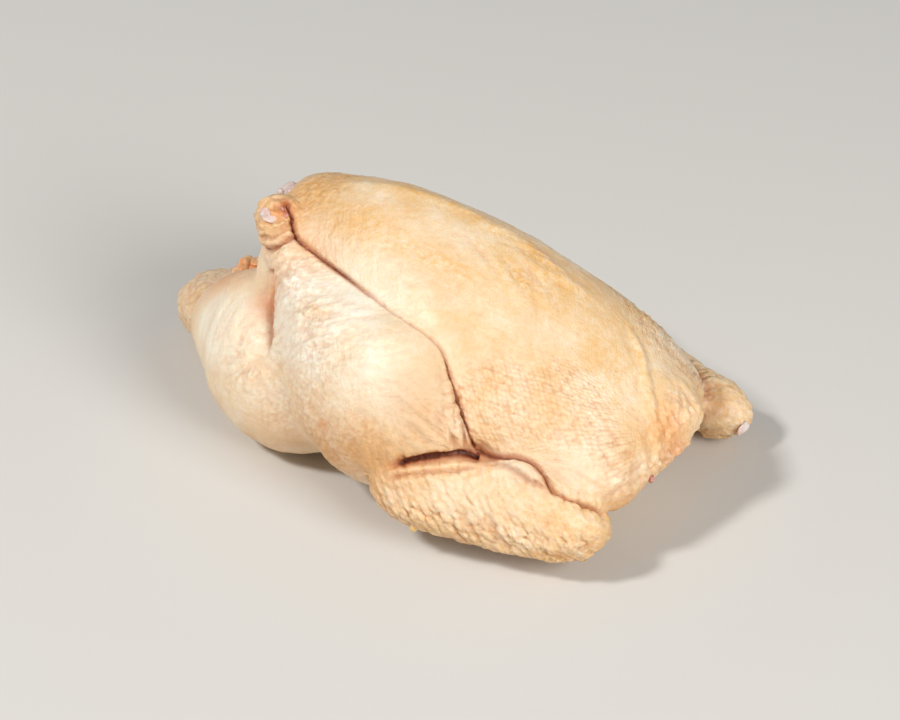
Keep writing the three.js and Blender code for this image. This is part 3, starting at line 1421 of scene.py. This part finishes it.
    def _far_distance(self, points: np.ndarray) -> np.ndarray:
        """How far each point is from the creases of the solid's far side.

        Args:
            points: The skin's points.

        Returns:
            The distances, in millimetres.
        """
        away = np.full(len(points), UNSEARCHED)
        for index in np.flatnonzero(points[:, 1] > self.far_region[0][1] - self.far_margin):
            away[index] = self.far_creases.find(points[index])[2]
        return away

    def _fold(self, clay: Clay) -> np.ndarray:
        """Presses the folds in, raises the ridges and finds the shade painted into folds and hollows.

        Args:
            clay: The skin.

        Returns:
            How much shade is painted at each point, from 0 to 1: most deep in a fold.
        """
        clay.write()
        surface = surface_of(clay.mesh)
        quiet = np.zeros(len(clay.points))
        heights = np.zeros(len(clay.points))
        pressed = np.zeros(len(clay.points))
        dark = np.zeros(len(clay.points))
        # No fold is even: its depth and its course waver.
        uneven = 1.0 + 0.3 * layered_noise(clay.points, 8.0, 31)
        sway = 1.3 * layered_noise(clay.points, 10.0, 33)
        for fold in self.fold_lines:
            away, along = distance_to_line(clay.points, self._laid_on(surface, fold.curve()), 16.0)
            away = np.maximum(away + sway * np.clip(away / 2.5, 0.25, 1.0), 0.0)
            ends = fold.strength_at(along)
            width = fold.width * (0.5 + 0.5 * np.minimum(ends, 1.0))
            change = ends * uneven * fold.section(away, width)
            heights += np.maximum(change, 0.0) + ends * uneven * fold.lip_section(away)
            # Where two folds meet, the deeper one counts, so that their junction doesn't sink.
            pressed = np.minimum(pressed, change)
            # Each fold is painted with shade, darkest along its line.
            shade = np.minimum(ends * 1.2, 1.0) * fold.dark * np.exp(-((away / (width * 0.85)) ** 2))
            dark = np.maximum(dark, shade)
            # A fold that replaces the solid's own crease keeps other hollows from deepening beside it.
            if fold.calm:
                quiet = np.maximum(quiet, 1.0 - smooth_step(away, 5.0, 9.0))
        far_heights, far_dark, away = self._far_folds(clay, sway)
        heights += far_heights
        dark = np.maximum(dark, far_dark)
        quiet = np.maximum(quiet, 1.0 - smooth_step(away, 3.0, 6.0))
        # Elsewhere the skin sinks a little wherever the solid is already folded inwards.
        natural = clay.blur(clay.hollowness(), 3)
        natural = smooth_step(natural, 0.05, 0.2) * (1.0 - quiet)
        natural = clay.blur(natural, 2)
        heights -= self.natural_depth * natural
        heights += self._patches(clay.points, SWELLINGS) - self._patches(clay.points, DIMPLES)
        clay.push(heights + pressed)
        clay.relax(4, self._patches(clay.points, SMOOTHED), keep_size=False)
        # The holes get painted shade, and the hollows get some too.
        dark = np.maximum(dark, self._patches(clay.points, SHADED_HOLES))
        return np.clip(np.maximum(dark, natural * 0.7), 0.0, 1.0)

    def _far_folds(self, clay: Clay, sway: np.ndarray) -> tuple[np.ndarray, np.ndarray, np.ndarray]:
        """Deepens the solid's own creases on the far side, where no folds are drawn.

        Args:
            clay: The skin.
            sway: How far the creases waver at each point, in millimetres.

        Returns:
            The heights in millimetres, how much shade is painted into the creases, and the distance from
            them.
        """
        points = clay.points
        away = np.maximum(clay.blur(self._far_distance(points), 2) - 0.5 + 0.6 * sway, 0.0)
        patchy = 0.8 + 0.5 * layered_noise(points, 30.0, 37, 1)
        filled, _ = distance_to_line(points, smooth_line(FILLED_CREASES[Side.RIGHT]))
        patchy *= smooth_step(filled, 4.0, 20.0)
        hock_end = 1.0 - smooth_step(points[:, 0], -98.0, -84.0)
        patchy *= 1.0 - hock_end * smooth_step(points[:, 2], 56.0, 66.0)
        heights = patchy * FAR_FOLD.section(away, FAR_FOLD.width)
        # Shade is painted into the creases.
        dark = FAR_FOLD.dark * patchy * np.exp(-((away / self.far_shade_mm) ** 2))
        return heights, dark, away

    def _laid_on(self, surface: BVHTree, curve: np.ndarray) -> np.ndarray:
        """Moves a curve onto the skin, without letting one point jump to another part of the bird.

        Args:
            surface: The skin.
            curve: The curve's points.

        Returns:
            The moved points.
        """
        found = np.array([surface.find_nearest(Vector(spot) * MM)[0][:] for spot in curve]) / MM
        shift = found - curve
        shift /= np.maximum(np.linalg.norm(shift, axis=1) / self.longest_shift, 1.0)[:, None]
        padded = np.pad(shift, ((3, 3), (0, 0)), mode="edge")
        return curve + sum(padded[i : i + len(curve)] for i in range(7)) / 7.0

    def _wing_share(self, points: np.ndarray) -> tuple[np.ndarray, np.ndarray, np.ndarray]:
        """Finds the folded wings.

        Args:
            points: The skin's points.

        Returns:
            How much each point belongs to a wing, and its place along and around that wing, in millimetres.
        """
        share = np.zeros(len(points))
        along = np.zeros(len(points))
        around = np.zeros(len(points))
        for side, corners in self.wing_lines.items():
            line = smooth_line(corners)
            away, place = distance_to_line(points, line)
            outward = points[:, 1] * side.value - np.interp(points[:, 0], line[:, 0], line[:, 1] * side.value)
            low = np.interp(points[:, 0], line[:, 0], line[:, 2])
            lean = outward * 0.8 - (points[:, 2] - low) * 0.35
            belongs = (1.0 - smooth_step(away, *self.wing_edge)) * smooth_step(lean, *self.wing_inner_edge)
            belongs *= smooth_step(points[:, 0], line[0, 0] - 4.0, line[0, 0] + 1.0)
            inside = belongs > share
            length = np.linalg.norm(line[-1] - line[0])
            angle = np.arctan2(low - points[:, 2], outward)
            share = np.where(inside, belongs, share)
            along = np.where(inside, place * length, along)
            around = np.where(inside, angle * self.wing_radius, around)
        return share, along, around

    def _follicles(self, a: np.ndarray, b: np.ndarray, seed: int) -> np.ndarray:
        """Staggered rows of feather follicles, as low domes.

        Args:
            a: The place across the rows, counted in rows.
            b: The place along the rows, counted in follicles.
            seed: Changes the unevenness.

        Returns:
            The domes' heights, from 0 to 1.
        """
        column = np.floor(a)
        height = np.zeros(len(a))
        for step_a in (-1, 0, 1):
            shifted = b + 0.5 * np.mod(column + step_a, 2)
            row = np.floor(shifted)
            for step_b in (-1, 0, 1):
                cell = np.stack([column + step_a, row + step_b, np.zeros(len(a))], axis=1)
                da = a - (column + step_a + 0.5 + 0.35 * (cell_hash(cell, seed) - 0.5))
                db = shifted - (row + step_b + 0.5 + 0.35 * (cell_hash(cell, seed + 1) - 0.5))
                grow = 0.5 + cell_hash(cell, seed + 2)
                away = (da * da + db * db) / (0.4 * (0.7 + 0.6 * cell_hash(cell, seed + 3)))
                height = np.maximum(height, np.sqrt(np.clip(1.0 - away, 0.0, 1.0)) * grow)
        return height

    def _patches(self, points: np.ndarray, patches: tuple) -> np.ndarray:
        """Adds soft spots.

        Args:
            points: The skin's points.
            patches: The spots.

        Returns:
            The strongest spot's amount at each point.
        """
        total = np.zeros(len(points))
        for patch in patches:
            for flip in (1, -1) if patch.mirrored else (1,):
                centre = np.array(patch.at, float) * (1, flip, 1)
                away = np.linalg.norm((points - centre) / np.array(patch.reach, float), axis=1)
                total = np.maximum(total, patch.amount * np.exp(-away * away))
        return total

    def _creases(self, points: np.ndarray, normals: np.ndarray) -> np.ndarray:
        """The small creases of all wrinkled patches.

        Args:
            points: The skin's points.
            normals: Their normals.

        Returns:
            Heights, in millimetres.
        """
        heights = np.zeros(len(points))
        sway = 2.0 * sway_of(points, 14.0, 81)
        for number, patch in enumerate(WRINKLES):
            for flip in (1, -1) if patch.mirrored else (1,):
                centre = np.array(patch.at, float) * (1, flip, 1)
                offset = points - centre
                share = np.exp(-np.sum((offset / np.array(patch.reach, float)) ** 2, axis=1))
                near = share > 0.02
                if not near.any():
                    continue
                facing = normals[near][np.argmax(share[near])]
                along = np.array(patch.along, float) * (1, flip, 1)
                along -= facing * (along @ facing)
                along /= np.linalg.norm(along)
                across = np.cross(facing, along)
                local = offset[near] + sway[near]
                u, v = local @ along, local @ across
                if patch.radial:
                    radius = np.hypot(u, v)
                    share[near] *= smooth_step(radius, 3.0, 9.0)
                    u, v = radius, np.arctan2(v, u) * patch.spacing
                    grid = np.stack([u / patch.length, v, np.full(len(u), 0.5)], axis=1)
                else:
                    lengthwise = u / (patch.spacing * patch.length)
                    grid = np.stack([lengthwise, v / patch.spacing, local @ facing / 9.0], axis=1)
                swell = np.abs(value_noise(grid, 1.0, 101 + number))
                swell += 0.4 * np.abs(value_noise(grid * 2.1, 1.0, 131 + number))
                heights[near] += patch.height * share[near] * (swell * 1.6 - 0.6)
        return heights

    def _roughen(self, clay: Clay, folded: np.ndarray) -> dict[str, np.ndarray]:
        """Adds follicles, wrinkles and unevenness.

        Args:
            clay: The skin.
            folded: How much shade is painted at each point, most deep in a fold.

        Returns:
            What was added, by name.
        """
        points = clay.points.copy()
        x, y, z = points.T
        normals = clay.normals()
        wing, along, around = self._wing_share(points)
        # Follicles stand in staggered rows, slantwise round the trunk and along the wings.
        angle = np.arctan2(y, z - self.axis_height)
        around_trunk = angle * self.trunk_radius + 1.6 * layered_noise(points, 18, 4)
        bend = sway_of(points, 16.0, 6)
        body_a = (x + 1.6 * layered_noise(points, 18, 3) + 0.6 * around_trunk) / self.body_row_mm
        body_b = around_trunk / self.body_follicle_mm
        body = self._follicles(body_a, body_b, 11)
        wing_b = (around + 1.2 * bend[:, 1]) / self.wing_follicle_mm
        wing_a = (along + 1.5 * bend[:, 0]) / self.wing_row_mm - 0.76 * wing_b
        wings = self._follicles(wing_a, wing_b, 21)
        body_height = self._patches(points, tuple(Patch(r.at, r.reach, r.height) for r in BODY_ROWS))
        body_height *= (1.0 - wing) * (1.2 + 0.3 * value_noise(points, 16.0, 8))
        # Where the skin is drawn tight, it has fine lines and hardly any follicles.
        armpit, thigh = (fan.spread(points + 0.7 * bend) for fan in FANS)
        fans = np.where(thigh[2] > armpit[2], thigh, armpit)
        body_height *= 1.0 - np.clip(armpit[2] / 4.0, 0.0, 0.85)
        # The wings' follicles grow larger towards their lower edge and their far end.
        lower = smooth_step(around, -14.0, 4.0)
        wing_height = self.wing_height * wing * (0.65 + 0.4 * lower)
        wing_height *= 0.8 + 0.25 * smooth_step(along, 50.0, 90.0)
        heights = (body - self.follicle_base) * body_height + (wings - self.follicle_base) * wing_height
        # Wrinkles lie on the body, streaks on the wings, and pebbles wherever the skin is rough.
        creases = self._creases(points, normals) * (1.0 - 0.85 * wing) * 1.3
        across_streak = (along - 0.55 * around) / self.streak_mm
        along_streak = (around + 0.5 * along) / self.streak_length_mm
        streak_spots = np.stack([across_streak, along_streak, np.zeros(len(x))], axis=1)
        streaks = np.abs(value_noise(streak_spots + 0.25 * bend, 1.0, 171)) * wing
        stones = pebbles(points + 0.8 * sway_of(points, 6.0, 91), self.stone_mm, 95)
        stone_height = self._patches(points, PEBBLED) * (1.0 - wing)
        gravel = pebbles(points + 0.6 * sway_of(points, 5.0, 94), self.gravel_mm, 98)
        gravel_height = self._patches(points, FINE_PEBBLED) * (1.0 - wing)
        gravel_height *= 1.0 - 0.6 * smooth_step(y, 5.0, 25.0)
        heights += 0.7 * (streaks - 0.4) * wing + creases
        heights += (stones - self.stone_base) * stone_height + (gravel - self.stone_base) * gravel_height
        # All skin has a fine grain, soft lumps and long swells.
        grain = 1.0 - np.abs(layered_noise(points, self.grain_mm, 41, 2))
        heights += (grain - 0.72) * self.grain_height
        lumpy = self._patches(points, LUMPY)
        heights += (0.14 + 1.3 * lumpy) * layered_noise(points, self.lump_mm, 51, 2)
        heights += self.swell_height * layered_noise(points, self.swell_mm, 61, 1)
        # Deep in a fold the skin is smoother, and what touches the table stays flat.
        heights *= 1.0 - 0.6 * folded
        resting = smooth_step(z, 0.3, 3.0)
        clay.points += normals * (heights * resting)[:, None]
        clay.points[:, 2] = np.maximum(clay.points[:, 2], 0.0)
        # The low ground of each pattern, and how much of it is painted darker: browner skin with painted
        # shade.
        hollows = (
            (np.clip(1.0 - body / 0.9, 0.0, 1.0) ** 1.5, np.minimum(body_height * 0.7, 0.6)),
            (np.clip(1.0 - wings / 0.9, 0.0, 1.0) ** 1.5, wing * (0.4 + 0.5 * lower)),
            (np.clip(1.0 - stones * 2.2, 0.0, 1.0), np.minimum(stone_height, 0.6)),
            (np.clip(1.0 - gravel * 2.0, 0.0, 1.0), np.minimum(gravel_height, 0.7)),
            (np.clip(-creases * 1.4, 0.0, 0.4), 1.0),
        )
        valley = np.max([low * share for low, share in hollows], axis=0)
        grit = gravel_height * 1.2 + stone_height * 0.5 + body_height * 0.5 + 0.6 * wing
        rows = np.where(wing > 0.5, wing * (0.5 + 0.5 * lower), np.minimum(body_height * 1.3, 1.0))
        rows *= np.abs(2.0 * wing - 1.0)
        return {
            "valley": valley,
            "wing": wing,
            "grit": np.clip(grit, 0.2, 1.0),
            "rows": rows,
            "row_a": np.where(wing > 0.5, wing_a, body_a),
            "row_b": np.where(wing > 0.5, wing_b, body_b),
            "fan_a": fans[0],
            "fan_b": fans[1],
            "fan": fans[2],
        }

    def _paint(self, clay: Clay, folded: np.ndarray, relief: dict[str, np.ndarray]) -> None:
        """Paints what the material reads.

        Args:
            clay: The skin.
            folded: How much shade is painted at each point, most deep in a fold.
            relief: What was added.
        """
        points = clay.points
        fat = self._patches(points, FAT) * (0.8 + 0.5 * layered_noise(points, 7.0, 71))
        # The palest colour marks paler skin, painted highlights and painted light.
        pale_skin_and_light = self._patches(points, PALE_SKIN_AND_LIGHT) * (0.8 + 0.5 * layered_noise(points, 16.0, 75))
        thin = self._patches(points, THIN) * (0.9 + 0.4 * layered_noise(points, 12.0, 73))
        # Shade painted in a fold spreads softly onto the skin beside it, darker and redder.
        shade_beside_folds = clay.blur(folded, 12)
        colours = {
            # Folds are painted with shade.
            "fold": folded + 0.12 * shade_beside_folds,
            "valley": relief["valley"],
            "fat": fat + 0.25 * relief["wing"],
            "pale_skin_and_light": pale_skin_and_light,
            "thin": thin,
            # Tan marks tan skin and also the painted shade on the undersides.
            "tan": self._patches(points, TAN_AND_SHADE),
            # Blush also carries the painted shade beside the folds.
            "blush_and_painted_light": self._patches(points, BLUSH_AND_PAINTED_LIGHT) + 0.35 * shade_beside_folds,
        }
        for name in COLOURS:
            clay.paint(name, np.clip(colours[name], 0.0, 1.0))
        for name in RELIEFS:
            clay.paint(name, relief[name])


# Small parts.


@dataclass(frozen=True)
class Lump:
    """A small rounded piece of tissue that lies on the skin, in millimetres.

    Lift is how far its middle stands above the skin.
    """

    at: tuple
    radius: tuple
    turn: float = 0.0
    uneven: float = 0.12
    seed: int = 1
    lift: float = 0.0


def row_of_lumps(start: tuple, end: tuple, count: int, size: float, seed: int) -> tuple:
    """Uneven lumps side by side along a straight line, some of them to its left or right.

    Args:
        start: The middle of the first lump, in millimetres.
        end: The middle of the last lump.
        count: How many there are.
        size: Their mean radius.
        seed: Changes the unevenness.

    Returns:
        The lumps.
    """
    steps = np.linspace(0.0, 1.0, count)
    chance = cell_hash(np.stack([np.arange(count * 4)] * 3, axis=1), seed).reshape(count, 4)
    middles = np.array(start) + steps[:, None] * (np.array(end) - np.array(start))
    middles += (chance[:, :3] - 0.5) * size * 1.6
    radii = size * ((0.7, 0.6, 0.4) + chance[:, :3] * (0.6, 0.5, 0.4))
    turns = 6.0 * chance[:, 3]
    return tuple(
        Lump(tuple(middle), tuple(radius), turn, 0.35, seed + number, 0.1)
        for number, (middle, radius, turn) in enumerate(zip(middles, radii, turns))
    )


@dataclass
class Tissue:
    """Small lumps of one kind of tissue, joined into one piece."""

    name: str
    lumps: tuple
    finish: WetTissueFinish

    def build(self, surface: BVHTree) -> bpy.types.Object:
        """Makes the piece.

        Args:
            surface: The skin that the lumps lie on.

        Returns:
            The finished piece.
        """
        shell = bmesh.new()
        for lump in self.lumps:
            made = bmesh.ops.create_icosphere(shell, subdivisions=3, radius=1.0)["verts"]
            unit = np.array([v.co[:] for v in made])
            swell = 1.0 + lump.uneven * layered_noise(unit * 10.0 + lump.seed * 50.0, 9.0, lump.seed, 3)
            for vert, size in zip(made, swell):
                vert.co = vert.co * float(size)
            spot, normal, _, _ = surface.find_nearest(Vector(lump.at) * MM)
            middle = spot + normal * lump.lift * MM
            place = (
                Matrix.Translation(middle)
                @ normal.to_track_quat("Z", "X").to_matrix().to_4x4()
                @ Matrix.Rotation(lump.turn, 4, "Z")
                @ Matrix.Diagonal((*(r * MM for r in lump.radius), 1.0))
            )
            bmesh.ops.transform(shell, matrix=place, verts=made)
        mesh = bpy.data.meshes.new(self.name)
        bmesh.ops.recalc_face_normals(shell, faces=shell.faces)
        shell.to_mesh(mesh)
        shell.free()
        mesh.shade_smooth()
        mesh.materials.append(self.finish.build())
        piece = bpy.data.objects.new(self.name, mesh)
        bpy.context.scene.collection.objects.link(piece)
        return piece


CARTILAGE = WetTissueFinish("cartilage_wet", "#EADDD8", "#D8B9B0", 4.0, 0.22)
RIM_FAT = WetTissueFinish("rim_fat_soft", "#FFD3A4", "#FAA870", 4.0, 0.35)
YELLOW_FAT = WetTissueFinish("skin_fat_yellow", "#F2D092", "#E4B870", 3.0, 0.35)
FLESH = WetTissueFinish("flesh_torn", "#DDA594", "#B0645A", 2.0, 0.25)

TISSUES = (
    Tissue(
        "hock_cartilage",
        (
            Lump((-92.5, -30.5, 99.0), (4.0, 2.6, 0.9), 0.6, 0.3, 3, 0.1),
            Lump((-96.0, -30.0, 98.5), (2.4, 2.0, 0.8), -0.2, 0.3, 5, 0.1),
            Lump((-109.0, 4.0, 88.5), (4.0, 3.8, 1.6), 0.2, 0.28, 7, 0.4),
            Lump((-112.0, 1.5, 87.0), (3.4, 3.0, 1.4), 0.0, 0.28, 9, 0.3),
        ),
        CARTILAGE,
    ),
    Tissue(
        "rim_fat",
        (
            *row_of_lumps((-134.0, -9.0, 42.0), (-124.0, 8.0, 48.0), 8, 3.4, 11),
            *row_of_lumps((-129.0, -8.0, 44.5), (-121.0, 10.0, 49.5), 8, 3.6, 31),
            *row_of_lumps((-120.0, -13.0, 48.0), (-117.0, 12.0, 49.0), 6, 3.2, 51),
        ),
        RIM_FAT,
    ),
    Tissue(
        "wing_tag",
        (Lump((12.5, -84.0, 15.5), (1.8, 1.5, 1.6), 0.0, 0.25, 23, 0.3),),
        YELLOW_FAT,
    ),
    Tissue(
        "torn_flesh",
        (
            Lump((88.5, -23.0, 32.0), (2.6, 1.6, 0.9), 0.6, 0.35, 17, 0.2),
            Lump((-89.5, -26.5, 101.5), (1.5, 1.0, 0.8), 0.4, 0.35, 18, 0.1),
            Lump((-87.5, -27.0, 99.5), (1.2, 1.0, 0.7), 0.0, 0.35, 20, 0.1),
        ),
        FLESH,
    ),
    Tissue(
        "wing_end_cartilage",
        (
            Lump((91.0, 49.0, 14.5), (2.6, 3.8, 0.7), 0.3, 0.35, 19),
        ),
        CARTILAGE,
    ),
)


# The studio.


@dataclass(frozen=True)
class SoftLamp:
    """A soft square lamp: where it hangs and its width in metres, and its power in watts."""

    name: str
    place: tuple
    width: float
    power: float
    colour: tuple = (1.0, 0.985, 0.96)


@dataclass
class Studio:
    """The pale table, the soft light and the camera at the photograph's angle, in metres and degrees.

    The lens and the sensor are in millimetres. Aim is the spot in the middle of the picture, to the left of
    and above the bird's origin.
    """

    azimuth: float = 33.0
    elevation: float = 35.0
    distance: float = 1.277
    lens: float = 120.0
    sensor: float = 36.0
    aim: tuple = (-0.0204, 0.0360)
    floor_colour: str = "#D9D7D3"
    floor_size: float = 6.0
    floor_roughness: float = 0.85
    grains_per_metre: float = 30.0
    room_light: float = 0.22
    lamp_target: tuple = (-0.02, 0.0, 0.05)
    lamps: tuple = (
        SoftLamp("key", (-0.92, -1.4, 2.0), 0.36, 39.0),
        SoftLamp("fill", (2.0, -0.6, 1.3), 1.2, 42.0),
    )

    def build(self) -> None:
        """Makes the floor, lights, world and camera."""
        self._camera()
        self._floor()
        for lamp in self.lamps:
            self._hang(lamp)
        # The other view transforms turn the skin grey.
        bpy.context.scene.view_settings.view_transform = "Standard"
        world = bpy.data.worlds.new("soft_room")
        world.use_nodes = True
        background = world.node_tree.nodes["Background"].inputs
        background["Color"].default_value = (1.0, 1.0, 1.0, 1.0)
        background["Strength"].default_value = self.room_light
        bpy.context.scene.world = world

    def _axes(self) -> tuple[Vector, Vector, Vector]:
        """The camera's directions.

        Returns:
            Its right, up and backward directions.
        """
        az, el = math.radians(self.azimuth), math.radians(self.elevation)
        back = Vector((math.sin(az) * math.cos(el), -math.cos(az) * math.cos(el), math.sin(el)))
        right = Vector((math.cos(az), math.sin(az), 0.0))
        return right, back.cross(right), back

    def _camera(self) -> None:
        """Makes the camera."""
        right, up, back = self._axes()
        data = bpy.data.cameras.new("camera")
        data.lens = self.lens
        data.sensor_width = self.sensor
        camera = bpy.data.objects.new("camera", data)
        place = right * self.aim[0] + up * self.aim[1] + back * self.distance
        turn = Matrix((right, up, back)).transposed().to_4x4()
        camera.matrix_world = Matrix.Translation(place) @ turn
        bpy.context.scene.collection.objects.link(camera)
        bpy.context.scene.camera = camera

    def _floor(self) -> None:
        """Makes the table top."""
        shell = bmesh.new()
        bmesh.ops.create_grid(shell, x_segments=2, y_segments=2, size=self.floor_size)
        mesh = bpy.data.meshes.new("table")
        shell.to_mesh(mesh)
        shell.free()
        floor = bpy.data.objects.new("table", mesh)
        bpy.context.scene.collection.objects.link(floor)
        nodes = NodeTree("painted_board_matt")
        place = nodes.add("TexCoord", output="Object")
        # Roller paint leaves a faint grain of about three centimetres, and no gloss.
        grain = nodes.add("TexNoise", Vector=place, Scale=self.grains_per_metre, Detail=3.0)
        bump = nodes.add("Bump", Strength=0.05, Distance=0.0005, Height=grain)
        paint = linear(self.floor_colour)
        board = nodes.add("BsdfPrincipled", Base_Color=paint, Roughness=self.floor_roughness, Normal=bump)
        nodes.add("OutputMaterial", Surface=board)
        mesh.materials.append(nodes.material)

    def _hang(self, lamp: SoftLamp) -> None:
        """Hangs a soft lamp that points at the bird.

        Args:
            lamp: What is hung, and where.
        """
        data = bpy.data.lights.new(lamp.name, "AREA")
        data.size = lamp.width
        data.energy = lamp.power
        data.color = lamp.colour
        hung = bpy.data.objects.new(lamp.name, data)
        towards = Vector(self.lamp_target) - Vector(lamp.place)
        turn = towards.to_track_quat("-Z", "Y").to_matrix().to_4x4()
        hung.matrix_world = Matrix.Translation(lamp.place) @ turn
        bpy.context.scene.collection.objects.link(hung)


def main() -> None:
    """Builds every piece in order."""
    logging.basicConfig(level=logging.INFO, format="%(message)s")
    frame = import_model()
    Studio().build()
    skin = Skin().build(frame["nodes"][NODE])
    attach(skin, "root")
    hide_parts(NODE)
    LOG.info("skin: %d triangles", sum(len(face.vertices) - 2 for face in skin.data.polygons))
    LOG.info("folds and ridges on it: %s", ", ".join(fold.name for fold in FOLDS))
    surface = surface_of(skin.data)
    for tissue in TISSUES:
        piece = tissue.build(surface)
        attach(piece, "root")
        LOG.info("%s: %d faces", piece.name, len(piece.data.polygons))
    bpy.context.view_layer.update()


if __name__ == "__main__":
    main()
